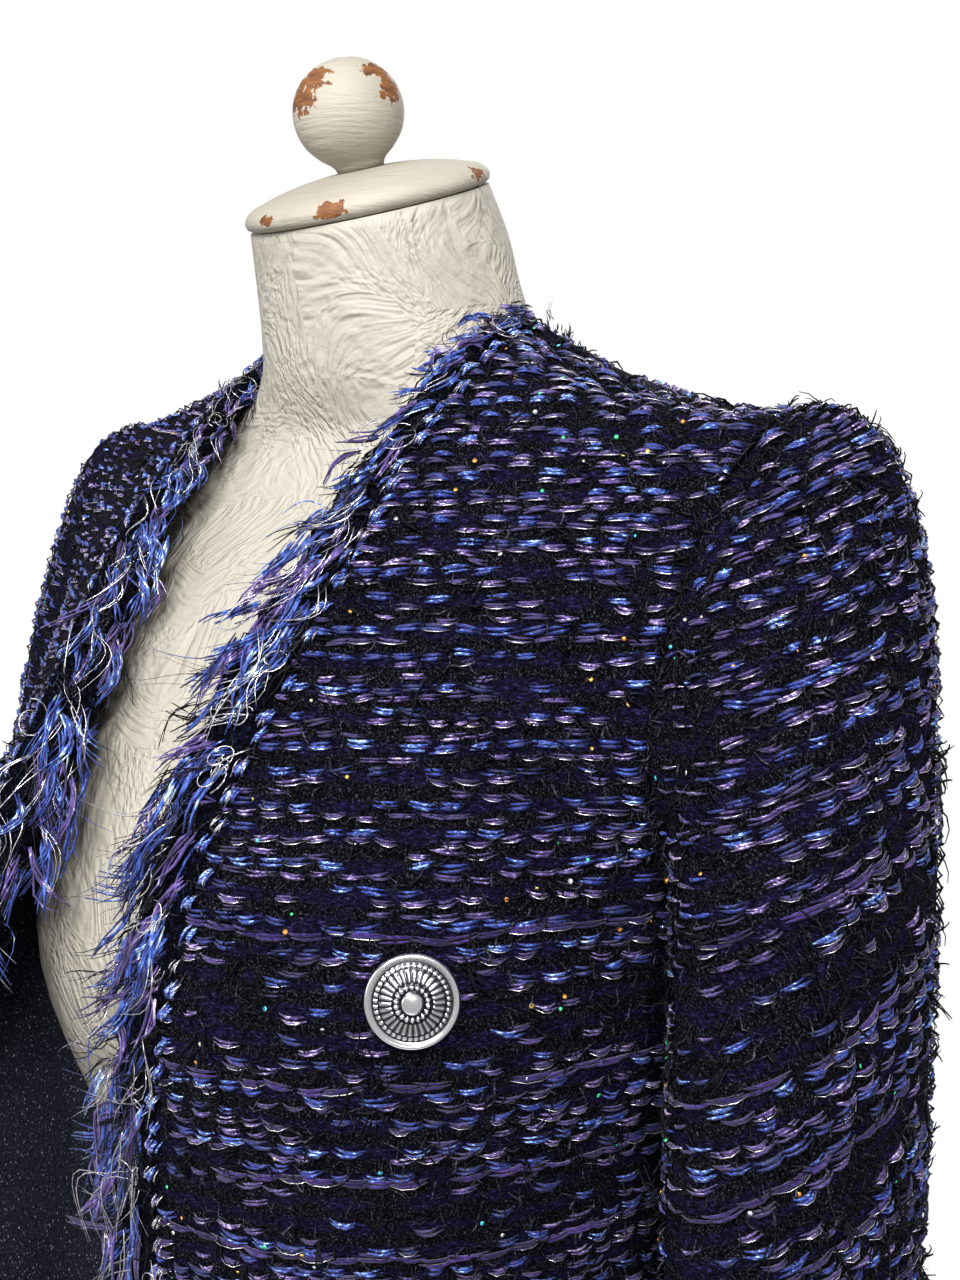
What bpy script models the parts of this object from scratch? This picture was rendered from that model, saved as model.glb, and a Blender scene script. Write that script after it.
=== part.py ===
"""Collarless fringed tweed jacket, worn open on a limbless dress form.

Metres, +Z up, the front towards -Y, the wearer's left towards +X. Tables are in millimetres.
Cloth pieces are walls lofted through measured sections and parted by a small gap at every seam.
"""
import math

import bmesh
import bpy
import numpy as np
from mathutils import Matrix, Vector
from mathutils.bvhtree import BVHTree

MM = 0.001
WALL = 2.0 * MM
GAP = 0.3 * MM
FORM_CLEARANCE = 0.8 * MM
SEAT = 0.6 * MM
# Where the cloth rests on the form: least and greatest x, least z, the seam's y and reach in y.
SHOULDER = (0.085, 0.150, 0.67, 0.010, 0.009)

# Resolution of the cloth grids.
LOWER_ROWS = 10
UPPER_ROWS = 11
FRONT_COLUMNS = 10
NECK_COLUMNS = 5
CAP_RINGS = 7
SLEEVE_RINGS = 9

# Left front, hem to shoulder seam: t, edge xyz, middle xyz, side seam or armhole xyz.
FRONT = np.array([
    (0.000, 16, -151, 100, 136, -118, 99, 191, 0, 98),
    (0.160, 17, -148, 200, 125, -110, 199, 176, 0, 198),
    (0.340, 20, -146, 315, 112, -104, 314, 155, 0, 312),
    (0.500, 28, -151, 420, 118, -109, 418, 158, 0, 414),
    (0.610, 40, -154, 500, 126, -111, 495, 167, 0, 486),
    (0.670, 48, -147, 545, 128, -103, 537, 176, 0, 524),
    (0.750, 60, -127, 600, 128, -85, 590, 163, -50, 564),
    (0.830, 69, -98, 648, 126, -66, 637, 161, -50, 610),
    (0.910, 72, -60, 694, 126, -43, 678, 167, -33, 662),
    (0.965, 71, -20, 725, 123, -16, 702, 175, -9, 694),
    (1.000, 68, 8, 733, 122, 12, 706, 180, 14, 700),
], float)

# Back, left half: t, centre xyz, neck column xyz, middle xyz, side seam or armhole xyz.
BACK = np.array([
    (0.000, 0, 160, 98, 76, 150, 98, 153, 99, 98, 191, 0, 98),
    (0.160, 0, 140, 198, 71, 130, 198, 141, 84, 198, 176, 0, 198),
    (0.340, 0, 113, 312, 62, 107, 312, 122, 68, 312, 155, 0, 312),
    (0.500, 0, 114, 414, 63, 109, 414, 125, 70, 414, 158, 0, 414),
    (0.610, 0, 121, 490, 67, 116, 490, 131, 76, 488, 167, 0, 486),
    (0.670, 0, 125, 535, 69, 121, 534, 136, 84, 530, 176, 0, 524),
    (0.750, 0, 126, 592, 69, 123, 592, 135, 98, 582, 163, 62, 564),
    (0.830, 0, 119, 645, 68, 115, 647, 130, 96, 636, 162, 70, 610),
    (0.910, 0, 98, 689, 76, 83, 693, 128, 72, 683, 168, 54, 662),
    (0.965, 0, 76, 711, 83, 25, 718, 128, 38, 702, 176, 36, 693),
    (1.000, 0, 60, 722, 68, 8, 733, 122, 12, 706, 180, 14, 700),
], float)
UNDERARM_T = 0.670
NECK_S = 1.0 / 3.0
ROUND_NECK_T = 0.96

# The right front hangs open: t, how far its edge lies nearer the centre, lower, swing in degrees.
OPENING = np.array([
    (0.000, 0, 0, 24), (0.340, 0, 0, 26), (0.500, 0, 0, 24), (0.610, 3, 0, 17), (0.670, 8, 0, 9),
    (0.750, 15, 0, 1), (0.830, 20, 3, 0), (0.910, 18, 8, 0), (0.965, 8, 8, 0), (1.000, 0, 0, 0),
], float)
HINGE = (150, -90)

# Largest folds of a front: s and t at the top, s and t at the bottom, half width in s, height.
FOLDS = (
    (0.86, 0.66, 0.80, 0.00, 0.10, -9.0),
    (0.58, 0.56, 0.55, 0.00, 0.12, 6.0),
    (0.28, 0.50, 0.26, 0.00, 0.12, -6.0),
)

# Left sleeve below the biceps: v, centre xyz, half thickness, half width.
SLEEVE = np.array([
    (0.00, 206, -35, 500, 32, 56),
    (0.25, 207, -41, 420, 32, 56),
    (0.50, 209, -46, 330, 32, 54),
    (0.75, 215, -57, 220, 31, 49),
    (1.00, 226, -72, 100, 30, 45),
], float)
# How far back the open side's sleeve hangs from the other's place.
RIGHT_SLEEVE_BACK = 33 * MM
SLEEVE_DOWN = (0.02, -0.13, -1.0)
UNDERARM_TURN = 25.0

# Dress form rings: z, half width, front depth, back depth, centre y, forward tilt in degrees.
FORM = np.array([
    (0, 160, 104, 120, 0, 0), (90, 172, 108, 134, 0, 0), (190, 154, 106, 116, 0, 0),
    (310, 118, 98, 84, 0, 0), (410, 133, 114, 90, 0, 0), (500, 153, 139, 104, 0, 0),
    (560, 155, 124, 112, 0, 0), (610, 156, 99, 112, 0, 0), (650, 158, 68, 102, 0, 0),
    (680, 160, 46, 76, 4, 2), (696, 122, 42, 55, 8, 5), (710, 80, 45, 46, 8, 10),
    (724, 61, 48, 44, 5, 12), (740, 54, 48, 45, 1, 14), (760, 50, 47, 47, -4, 15),
    (779, 46, 45, 45, -10, 16),
], float)
FORM_SECTORS = 32
FORM_LEVELS = (0, 45, 90, 140, 190, 250, 310, 360, 410, 455, 500, 530, 560, 585, 610, 630, 650, 665,
               676, 684, 690, 696, 703, 710, 717, 724, 732, 740, 750, 760, 770, 779)
FORM_SQUARENESS = 2.15

# Turned wood on the neck: radius, height above the neck's top.
CAP_PROFILE = ((44, 0.3), (47, 1.5), (47.8, 4.0), (46, 6.8), (38.5, 10.0), (27, 12.8), (14, 14.4))
FINIAL_PROFILE = ((9.0, 0.0), (9.5, 1.5), (14.0, 5.5), (18.6, 11.0), (21, 20.0), (19.4, 28.2), (14.6, 34.8),
                  (8.0, 38.9))
FINIAL_SEAT = 14.8

# Fringe: strip width, strip thickness, strand length, droop from the edge's own direction.
FRINGE_STRIP = 8.0 * MM
FRINGE_WALL = 1.5 * MM
FRONT_STRANDS = 82
FRONT_STRAND_LENGTH = 38.0 * MM
FRONT_DROOP = 32.0
NECK_STRANDS = 30
NECK_STRAND_LENGTH = 11.0 * MM

# Buttons of a front: s, t.
BUTTONS = ((0.432, 0.649), (0.440, 0.497), (0.440, 0.342))
BUTTON_PROFILE = ((11.0, 0.0), (14.2, 0.9), (14.7, 2.3), (13.2, 3.4), (9.4, 4.9), (4.8, 5.8))
BUTTON_SECTORS = 18


def unit(v):
    return v / np.linalg.norm(v, axis=-1, keepdims=True)


def through(knots, rows, t):
    """Smooth curve through table rows at sorted knots, read at t."""
    t = np.asarray(t, float)
    column = (-1,) + (1,) * (rows.ndim - 1)
    step = np.diff(knots).reshape(column)
    rise = np.diff(rows, axis=0) / step
    slope = np.concatenate([rise[:1], rise, rise[-1:]])
    slope = slope[:-1].copy()
    slope[1:] = np.concatenate([
        (rise[:-1] * step[1:] + rise[1:] * step[:-1]) / (step[1:] + step[:-1]), rise[-1:]])
    i = np.clip(np.searchsorted(knots, t, side="right") - 1, 0, len(knots) - 2)
    h = step[i]
    u = (t - knots[i]).reshape(column) / h
    return ((2 * u**3 - 3 * u**2 + 1) * rows[i] + (u**3 - 2 * u**2 + u) * h * slope[i]
            + (3 * u**2 - 2 * u**3) * rows[i + 1] + (u**3 - u**2) * h * slope[i + 1])


def between(rows, at):
    """Rows read at places between them, along straight lines."""
    i = np.clip(at.astype(int), 0, len(rows) - 2)
    u = (at - i)[:, None]
    return rows[i] * (1 - u) + rows[i + 1] * u


def parabola(a, b, c, s):
    """Curve through a, b and c at s of 0, a half and 1."""
    s = s[:, None]
    return (1 - s) * (1 - 2 * s) * a + 4 * s * (1 - s) * b + s * (2 * s - 1) * c


def fold_height(s, t):
    """Height of the folds over a front, none at the seams."""
    height = np.zeros((len(t), len(s)))
    for top_s, top_t, low_s, low_t, half, rise in FOLDS:
        along = np.clip((top_t - t) / (top_t - low_t), 0, 1)
        middle = top_s + (low_s - top_s) * along
        across = (s[None, :] - middle[:, None]) / half
        fade = np.sin(np.minimum(along * 2.2, 1) * math.pi / 2) ** 2
        height += rise * MM * fade[:, None] * np.exp(-across**2)
    return height * np.clip((1 - s) / 0.12, 0, 1)


def front_surface(s, t, is_open):
    """Outer face of a front on the wearer's left; the open one is mirrored afterwards."""
    s, t = np.asarray(s, float), np.asarray(t, float)
    moved = through(OPENING[:, 0], OPENING[:, 1:3], FRONT[:, 0])
    rows = []
    for row, (inward, lower) in zip(FRONT, moved):
        edge = row[1:4] + (np.array([-inward, -0.3 * inward, -lower]) if is_open else 0)
        rows.append(parabola(edge, row[4:7], row[7:10], s))
    p = through(FRONT[:, 0], np.array(rows), t) * MM
    p = p + grid_normals(p) * fold_height(s, t)[..., None]
    if is_open:
        degrees = through(OPENING[:, 0], OPENING[:, 3:4], t)
        reach = np.clip((0.62 - s) / 0.62, 0, 1)
        turn = np.radians(degrees) * (1 - (1 - reach) ** 2)
        hinge = np.array(HINGE) * MM
        q = p[..., :2] - hinge
        p[..., 0] = hinge[0] + q[..., 0] * np.cos(turn) - q[..., 1] * np.sin(turn)
        p[..., 1] = hinge[1] + q[..., 0] * np.sin(turn) + q[..., 1] * np.cos(turn)
    return p


def back_surface(s, t):
    """Outer face of the back's left half, from the centre line to the side seam and armhole."""
    s, t = np.asarray(s, float), np.asarray(t, float)
    stops = np.array([0, NECK_S, 2 / 3, 1])
    turn = np.minimum(s / NECK_S, 1) * math.pi / 2
    rows = []
    for row in BACK:
        points = row[1:].reshape(4, 3)
        centre, neck, middle, tip = points
        curve = np.zeros((len(s), 3))
        for i in range(4):
            others = np.delete(stops, i)
            share = np.prod([(s - o) / (stops[i] - o) for o in others], axis=0)
            curve += share[:, None] * points[i]
        if row[0] >= ROUND_NECK_T:
            round_neck = np.stack([neck[0] * np.sin(turn),
                                   neck[1] + (centre[1] - neck[1]) * np.cos(turn),
                                   centre[2] + (neck[2] - centre[2]) * (turn / (math.pi / 2)) ** 2], -1)
            shoulder = parabola(neck, middle, tip, np.clip((s - NECK_S) / (1 - NECK_S), 0, 1))
            curve = np.where((s < NECK_S)[:, None], round_neck, shoulder)
        rows.append(curve)
    return through(BACK[:, 0], np.array(rows), t) * MM


def grid_normals(p):
    """Unit normals of a grid of points, rows upwards and columns outwards from the centre front."""
    along = np.gradient(p, axis=0)
    across = np.gradient(p, axis=1)
    return unit(np.cross(across, along))


def row_levels():
    lower = np.linspace(0, UNDERARM_T, LOWER_ROWS + 1)
    upper = np.linspace(UNDERARM_T, 1, UPPER_ROWS + 1)
    return np.concatenate([lower, upper[1:]])


def material(name, colour, metallic, roughness):
    made = bpy.data.materials.new(name)
    made.use_nodes = True
    shader = made.node_tree.nodes["Principled BSDF"]
    shader.inputs["Base Color"].default_value = (*colour, 1)
    shader.inputs["Metallic"].default_value = metallic
    shader.inputs["Roughness"].default_value = roughness
    return made


def add_object(name, verts, faces, surface):
    mesh = bpy.data.meshes.new(name)
    mesh.from_pydata([tuple(v) for v in verts], [], faces)
    work = bmesh.new()
    work.from_mesh(mesh)
    bmesh.ops.recalc_face_normals(work, faces=work.faces)
    work.to_mesh(mesh)
    work.free()
    mesh.materials.append(surface)
    made = bpy.data.objects.new(name, mesh)
    parts.objects.link(made)
    made.parent = root
    return made


def wall(name, outer, inner, closed, surface):
    """Cloth wall between two grids of points; a closed one wraps round in columns."""
    rows, columns = outer.shape[:2]
    verts = np.concatenate([outer.reshape(-1, 3), inner.reshape(-1, 3)])
    half = rows * columns
    last = columns if closed else columns - 1
    faces = []
    for j in range(rows - 1):
        for i in range(last):
            k = (i + 1) % columns
            quad = (j * columns + i, j * columns + k, (j + 1) * columns + k, (j + 1) * columns + i)
            faces.append(quad)
            faces.append(tuple(v + half for v in reversed(quad)))
    for j in (0, rows - 1):
        for i in range(last):
            a, b = j * columns + i, j * columns + (i + 1) % columns
            faces.append((a, b, b + half, a + half))
    if not closed:
        for i in (0, columns - 1):
            for j in range(rows - 1):
                a, b = j * columns + i, (j + 1) * columns + i
                faces.append((a, b, b + half, a + half))
    return add_object(name, verts, faces, surface)


def lathe(name, profile, sectors, place, surface):
    """Turned solid from radius and height pairs in millimetres, closed at both ends."""
    verts, faces = [], []
    rings = len(profile)
    for radius, height in profile:
        for k in range(sectors):
            a = 2 * math.pi * k / sectors
            verts.append(place @ Vector((radius * MM * math.cos(a), radius * MM * math.sin(a), height * MM)))
    for j in range(rings - 1):
        for k in range(sectors):
            n = (k + 1) % sectors
            faces.append((j * sectors + k, j * sectors + n, (j + 1) * sectors + n, (j + 1) * sectors + k))
    faces.append(tuple(reversed(range(sectors))))
    faces.append(tuple(range((rings - 1) * sectors, rings * sectors)))
    return add_object(name, verts, faces, surface)


def mirrored(p):
    return p * np.array([-1, 1, 1])


def build_panels():
    """Fronts and back with shared seams; returns what the sleeves, fringes and buttons need."""
    t = row_levels()
    s = np.linspace(0, 1, FRONT_COLUMNS + 1)
    back_s = np.concatenate([np.linspace(0, NECK_S, NECK_COLUMNS + 1)[:-1], NECK_S + (1 - NECK_S) * s])
    under = LOWER_ROWS
    half_back = back_surface(back_s, t)
    back_normal = -grid_normals(half_back)
    back_normal[:, 0] = unit(back_normal[:, 0] * np.array([0, 1, 1]))
    made = {}
    for side, is_open in (("left", False), ("right", True)):
        p = front_surface(s, t, is_open)
        n = grid_normals(p)
        seam = unit(n[:under + 1, -1] + back_normal[:under + 1, -1])
        n[:under + 1, -1] = seam
        back_normal[:under + 1, -1] = seam
        top = unit(n[-1] + back_normal[-1, NECK_COLUMNS:])
        n[-1] = top
        back_normal[-1, NECK_COLUMNS:] = top
        p[:under + 1, -1, 1] -= GAP / 2
        p[-1, :, 1] -= GAP / 2
        made[side] = (p, n)
    half_back[:under + 1, -1, 1] += GAP / 2
    half_back[-1, NECK_COLUMNS:, 1] += GAP / 2
    for side, (p, n) in made.items():
        flip = mirrored if side == "right" else np.array
        wall("front_" + side, flip(p), flip(p - n * WALL), False, tweed)
    whole = np.concatenate([mirrored(half_back[:, :0:-1]), half_back], axis=1)
    normal = np.concatenate([mirrored(back_normal[:, :0:-1]), back_normal], axis=1)
    wall("back", whole, whole - normal * WALL, False, tweed)
    return made, half_back, back_normal, whole, normal


def armhole_loop(front, half_back, back_normal):
    """Armhole from the underarm up the front to the tip and down the back, with normals."""
    p, n = front
    up, down = slice(LOWER_ROWS, None), slice(-2, LOWER_ROWS, -1)
    loop = np.concatenate([p[up, -1], half_back[down, -1]])
    normal = np.concatenate([n[up, -1], back_normal[down, -1]])
    loop[0, 1] += GAP / 2
    loop[UPPER_ROWS, 1] += GAP / 2
    course = np.roll(loop, -1, axis=0) - np.roll(loop, 1, axis=0)
    onward = unit(np.cross(normal, course))
    return loop, normal, onward * np.sign(onward[UPPER_ROWS, 0])


def build_sleeve(side, front, half_back, back_normal):
    loop, normal, onward = armhole_loop(front, half_back, back_normal)
    count = len(loop)
    angle = 2 * math.pi * np.arange(count) / count
    under = (0.5 + 0.5 * np.cos(angle))[:, None]
    v = np.linspace(0, 1, SLEEVE_RINGS)
    station = through(SLEEVE[:, 0], SLEEVE[:, 1:], v) * MM
    station[:, 1] += RIGHT_SLEEVE_BACK if side == "right" else 0
    turned = angle - math.radians(UNDERARM_TURN) * under[:, 0] ** 2
    rings = np.stack([station[:, 0:1] - station[:, 3:4] * np.cos(turned),
                      station[:, 1:2] - station[:, 4:5] * np.sin(turned),
                      np.repeat(station[:, 2:3], count, 1)], -1)
    down = unit(np.array(SLEEVE_DOWN))
    top = 1 - under
    start = unit(onward * (1 - 0.4 * under) + normal * 0.85 * np.sqrt(under))
    reach = np.linalg.norm(rings[0] - loop, axis=1)[:, None]
    first = start * (0.025 + 0.100 * top**2)
    last = down * reach * (0.9 + 0.7 * top)
    first_ring = loop + onward * 2 * GAP
    u = (np.linspace(0, 1, CAP_RINGS) ** 1.25)[:, None, None]
    cap = ((2 * u**3 - 3 * u**2 + 1) * first_ring + (u**3 - 2 * u**2 + u) * first
           + (3 * u**2 - 2 * u**3) * rings[0] + (u**3 - u**2) * last)
    outer = np.concatenate([cap, rings[1:]])
    along = np.gradient(outer, axis=0)
    across = np.roll(outer, -1, axis=1) - np.roll(outer, 1, axis=1)
    away = unit(np.cross(across, along))
    centre = outer.mean(axis=1, keepdims=True)
    away = away * np.sign(np.sum(away[-1] * (outer - centre)[-1], axis=-1).mean())
    away[0] = normal
    inner = outer - away * WALL
    flip = mirrored if side == "right" else np.array
    return wall("sleeve_" + side, flip(outer), flip(inner), True, tweed)


def build_fringe(name, edge, normal, outward, strands, length, droop, short_top, flip):
    """Strip along an edge with one tapered strand on every step, shorter by a share at its upper end."""
    at = np.linspace(0, len(edge) - 1, strands + 1)
    edge, normal, outward = (between(rows, at) for rows in (edge, normal, outward))
    away = edge + outward * FRINGE_STRIP
    near = edge + outward * GAP
    middle = normal * (WALL - FRINGE_WALL) / 2
    loops = [near - middle, away - middle, away - middle - normal * FRINGE_WALL,
             near - middle - normal * FRINGE_WALL]
    verts = np.stack(loops, axis=1).reshape(-1, 3).tolist()
    faces = [(0, 1, 2, 3), tuple(4 * strands + k for k in (3, 2, 1, 0))]
    for i in range(strands):
        for k in (0, 2, 3):
            n = (k + 1) % 4
            faces.append((4 * i + k, 4 * i + 4 + k, 4 * i + 4 + n, 4 * i + n))
    generator = np.random.default_rng(7)
    for i in range(strands):
        base = [4 * i + 1, 4 * i + 5, 4 * i + 6, 4 * i + 2]
        centre = np.mean([verts[k] for k in base], axis=0)
        course = unit(edge[i] - edge[i + 1])
        out = unit(outward[i] + outward[i + 1])
        up = unit(normal[i] + normal[i + 1])
        step = np.linalg.norm(edge[i] - edge[i + 1])
        lean = math.radians(droop + generator.uniform(-2, 2))
        aim = course * math.cos(lean) + out * math.sin(lean)
        lift = generator.uniform(-0.4, 1.0) * 0.12
        span = length * generator.uniform(0.72, 1.0) * (1 - short_top * np.clip(4 * i / strands - 3, 0, 1))
        side = unit(course * math.sin(lean) - out * math.cos(lean))
        clear = step * math.sin(lean)
        for share, width, thick in ((0.5, 0.52 * clear, 1.3 * MM), (1.0, 0.22 * clear, 0.8 * MM)):
            point = centre + aim * span * share + up * span * lift * share**2
            corner = len(verts)
            for a, b in ((1, 1), (-1, 1), (-1, -1), (1, -1)):
                verts.append((point + side * a * width / 2 + up * b * thick / 2).tolist())
            ring = [corner, corner + 1, corner + 2, corner + 3]
            for k in range(4):
                n = (k + 1) % 4
                faces.append((base[k], base[n], ring[n], ring[k]))
            base = ring
        faces.append(tuple(base))
    return add_object(name, flip(np.array(verts)), faces, yarn)


def build_form(cloth):
    """Dress form body, eased inwards wherever it would press into the cloth."""
    z = np.array(FORM_LEVELS, float)
    ring = through(FORM[:, 0], FORM, z)
    angle = 2 * math.pi * np.arange(FORM_SECTORS) / FORM_SECTORS
    c, s = np.cos(angle), np.sin(angle)
    power = 2 / FORM_SQUARENESS
    depth = np.where(c > 0, ring[:, 2:3], ring[:, 3:4])
    x = ring[:, 1:2] * np.sign(s) * np.abs(s) ** power
    y = -depth * np.sign(c) * np.abs(c) ** power
    tilt = np.radians(ring[:, 5:6])
    grid = np.stack([x, ring[:, 4:5] + y * np.cos(tilt), z[:, None] + y * np.sin(tilt)], -1) * MM
    trees = []
    for made in cloth:
        work = bmesh.new()
        work.from_mesh(made.data)
        trees.append(BVHTree.FromBMesh(work))
        work.free()
    flat = grid.reshape(-1, 3)
    for k, point in enumerate(flat):
        on_shoulder = SHOULDER[0] < abs(point[0]) < SHOULDER[1] and point[2] > SHOULDER[2]
        on_shoulder = on_shoulder and abs(point[1] - SHOULDER[3]) < SHOULDER[4]
        below = Vector((point[0], point[1], point[2] - 0.05))
        hits = [tree.ray_cast(below, Vector((0, 0, 1)))[0] for tree in trees] if on_shoulder else []
        roofs = [hit.z for hit in hits if hit]
        if roofs:
            flat[k, 2] = min(roofs) - SEAT
            continue
        for _ in range(8):
            for tree in trees:
                near, normal, _index, distance = tree.find_nearest(Vector(point))
                inside = normal.dot(Vector(point) - near) < 0
                if inside or distance < FORM_CLEARANCE:
                    core = Vector((0, 0, point[2] - 0.03)) - Vector(point)
                    flat[k] = point + np.array(core.normalized()) * 0.6 * MM
    rings, sectors = grid.shape[:2]
    faces = [tuple(range(sectors)), tuple(range((rings - 1) * sectors, rings * sectors))]
    for j in range(rings - 1):
        for i in range(sectors):
            n = (i + 1) % sectors
            faces.append((j * sectors + i, j * sectors + n, (j + 1) * sectors + n, (j + 1) * sectors + i))
    return add_object("form_body", flat, faces, plaster)


def build_neck_wood():
    top = FORM[-1]
    place = Matrix.Translation((0, top[4] * MM, top[0] * MM)) @ Matrix.Rotation(math.radians(top[5]), 4, "X")
    lathe("form_neck_cap", CAP_PROFILE, 28, place, wood)
    lathe("form_finial", FINIAL_PROFILE, 20, place @ Matrix.Translation((0, 0, FINIAL_SEAT * MM)), wood)


def build_buttons(side, is_open):
    """Buttons whose backs stand just off the front they are sewn to."""
    work = bmesh.new()
    work.from_mesh(bpy.data.objects["front_" + side].data)
    panel = BVHTree.FromBMesh(work)
    work.free()
    back_radius = BUTTON_PROFILE[0][0] * MM
    for number, (s, t) in enumerate(BUTTONS, start=1):
        around = front_surface([s - 0.02, s, s + 0.02], [t - 0.01, t, t + 0.01], is_open)
        normal = grid_normals(around)[1, 1]
        point = around[1, 1]
        if side == "right":
            normal, point = mirrored(normal), mirrored(point)
        turn = Vector(normal).to_track_quat("Z", "Y").to_matrix().to_4x4()
        high = Vector(point + normal * 0.02)
        rim = [Vector((back_radius * math.cos(a), back_radius * math.sin(a), 0))
               for a in np.linspace(0, 2 * math.pi, 12)]
        drops = [panel.ray_cast(high + turn @ v, Vector(-normal))[3] for v in [Vector()] + rim]
        place = Matrix.Translation(high - Vector(normal) * (min(drops) - GAP)) @ turn
        lathe(f"button_{side}_{number}", BUTTON_PROFILE, BUTTON_SECTORS, place, silver)


for stale in list(bpy.data.objects):
    bpy.data.objects.remove(stale, do_unlink=True)
parts = bpy.data.collections.new("tweed_jacket")
bpy.context.scene.collection.children.link(parts)
root = bpy.data.objects.new("jacket_on_form", None)
parts.objects.link(root)

tweed = material("tweed", (0.035, 0.035, 0.110), 0.0, 0.90)
yarn = material("fringe_yarn", (0.060, 0.070, 0.260), 0.0, 0.85)
plaster = material("cream_plaster", (0.780, 0.740, 0.650), 0.0, 0.80)
wood = material("painted_wood", (0.740, 0.690, 0.590), 0.0, 0.60)
silver = material("silver_metal", (0.800, 0.800, 0.820), 1.0, 0.25)

fronts, half_back, back_normal, back_grid, back_normals = build_panels()
for side, front in fronts.items():
    flip = mirrored if side == "right" else np.array
    build_sleeve(side, front, half_back, back_normal)
    points, normals = front[0][:, 0], front[1][:, 0]
    outward = unit(points - front[0][:, 1])
    lift = 1.1 * np.clip((row_levels() - 0.84) / 0.16, 0, 1)[:, None]
    outward = unit(outward + normals * lift)
    face = unit(normals - outward * np.sum(normals * outward, -1, keepdims=True))
    build_fringe("fringe_" + side, points, face, outward, FRONT_STRANDS,
                 FRONT_STRAND_LENGTH, FRONT_DROOP, 0.65, flip)
    build_buttons(side, side == "right")

middle = back_grid.shape[1] // 2
span = slice(middle - NECK_COLUMNS + 1, middle + NECK_COLUMNS)
neck_edge = back_grid[-1, span]
neck_course = unit(np.gradient(neck_edge, axis=0))
neck_inward = unit(np.cross(neck_course, np.array([0.0, 0.0, 1.0])))
neck_inward = neck_inward * np.sign(np.sum(neck_inward * neck_edge * np.array([-1, -1, 0]), -1, keepdims=True))
neck_up = unit(0.10 * neck_inward + np.array([0.0, 0.0, 1.0]))
neck_face = unit(-neck_inward + neck_up * np.sum(neck_inward * neck_up, -1, keepdims=True))
build_fringe("fringe_neck", neck_edge + neck_inward * 1.4 * GAP, neck_face, neck_up, NECK_STRANDS,
             NECK_STRAND_LENGTH, 80.0, 0.0, np.array)
build_form([bpy.data.objects[n] for n in ("front_left", "front_right", "back")])
build_neck_wood()

corners = np.concatenate([np.array([v.co[:] for v in made.data.vertices]) for made in parts.objects if made.data])
root.location = (-(corners[:, 0].min() + corners[:, 0].max()) / 2,
                 -(corners[:, 1].min() + corners[:, 1].max()) / 2, -corners[:, 2].min())
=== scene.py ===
"""Looks for the fringed tweed jacket on its dress form: woven yarn, fringe, plaster and metal.

Metres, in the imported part's frame. Tables of the cloth's sections are in millimetres.
"""

import math

import bmesh
import bpy
import numpy as np
from mathutils import Matrix, Vector


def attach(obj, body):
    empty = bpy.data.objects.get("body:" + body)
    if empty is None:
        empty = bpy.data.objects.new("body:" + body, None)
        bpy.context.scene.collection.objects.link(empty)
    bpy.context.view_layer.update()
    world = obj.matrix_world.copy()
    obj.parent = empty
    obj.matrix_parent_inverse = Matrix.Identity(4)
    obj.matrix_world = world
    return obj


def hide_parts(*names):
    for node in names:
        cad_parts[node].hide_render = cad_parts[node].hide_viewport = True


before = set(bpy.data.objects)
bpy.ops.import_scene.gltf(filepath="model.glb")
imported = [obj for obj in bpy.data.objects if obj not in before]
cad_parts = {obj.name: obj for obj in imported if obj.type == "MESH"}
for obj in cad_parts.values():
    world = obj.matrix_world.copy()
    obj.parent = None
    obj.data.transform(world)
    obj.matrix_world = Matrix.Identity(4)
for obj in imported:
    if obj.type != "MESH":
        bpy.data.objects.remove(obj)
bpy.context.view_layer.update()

MM = 0.001
UP = np.array([0.0, 0.0, 1.0])
WHITE = (1.0, 1.0, 1.0, 1)
# Where the sections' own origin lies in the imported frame.
PLACE = np.array([0.0, 0.02835, 0.0])

# Left front, hem to shoulder seam: t, edge xyz, middle xyz, side seam or armhole xyz.
FRONT = np.array([
    (0.000, 16, -151, 100, 136, -118, 99, 191, 0, 98),
    (0.160, 17, -148, 200, 125, -110, 199, 176, 0, 198),
    (0.340, 20, -146, 315, 112, -104, 314, 155, 0, 312),
    (0.500, 28, -151, 420, 118, -109, 418, 158, 0, 414),
    (0.610, 40, -154, 500, 126, -111, 495, 167, 0, 486),
    (0.670, 48, -147, 545, 128, -103, 537, 176, 0, 524),
    (0.750, 60, -127, 600, 128, -85, 590, 163, -50, 564),
    (0.830, 69, -98, 648, 126, -66, 637, 161, -50, 610),
    (0.910, 72, -60, 694, 126, -43, 678, 167, -33, 662),
    (0.965, 71, -20, 725, 123, -16, 702, 175, -9, 694),
    (1.000, 68, 8, 733, 122, 12, 706, 180, 14, 700),
], float)

# Back, left half: t, centre xyz, neck column xyz, middle xyz, side seam or armhole xyz.
BACK = np.array([
    (0.000, 0, 160, 98, 76, 150, 98, 153, 99, 98, 191, 0, 98),
    (0.160, 0, 140, 198, 71, 130, 198, 141, 84, 198, 176, 0, 198),
    (0.340, 0, 113, 312, 62, 107, 312, 122, 68, 312, 155, 0, 312),
    (0.500, 0, 114, 414, 63, 109, 414, 125, 70, 414, 158, 0, 414),
    (0.610, 0, 121, 490, 67, 116, 490, 131, 76, 488, 167, 0, 486),
    (0.670, 0, 125, 535, 69, 121, 534, 136, 84, 530, 176, 0, 524),
    (0.750, 0, 126, 592, 69, 123, 592, 135, 98, 582, 163, 62, 564),
    (0.830, 0, 119, 645, 68, 115, 647, 130, 96, 636, 162, 70, 610),
    (0.910, 0, 98, 689, 76, 83, 693, 128, 72, 683, 168, 54, 662),
    (0.965, 0, 76, 711, 83, 25, 718, 128, 38, 702, 176, 36, 693),
    (1.000, 0, 60, 722, 68, 8, 733, 122, 12, 706, 180, 14, 700),
], float)
UNDERARM_T = 0.670
NECK_S = 1.0 / 3.0
ROUND_NECK_T = 0.96

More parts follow.
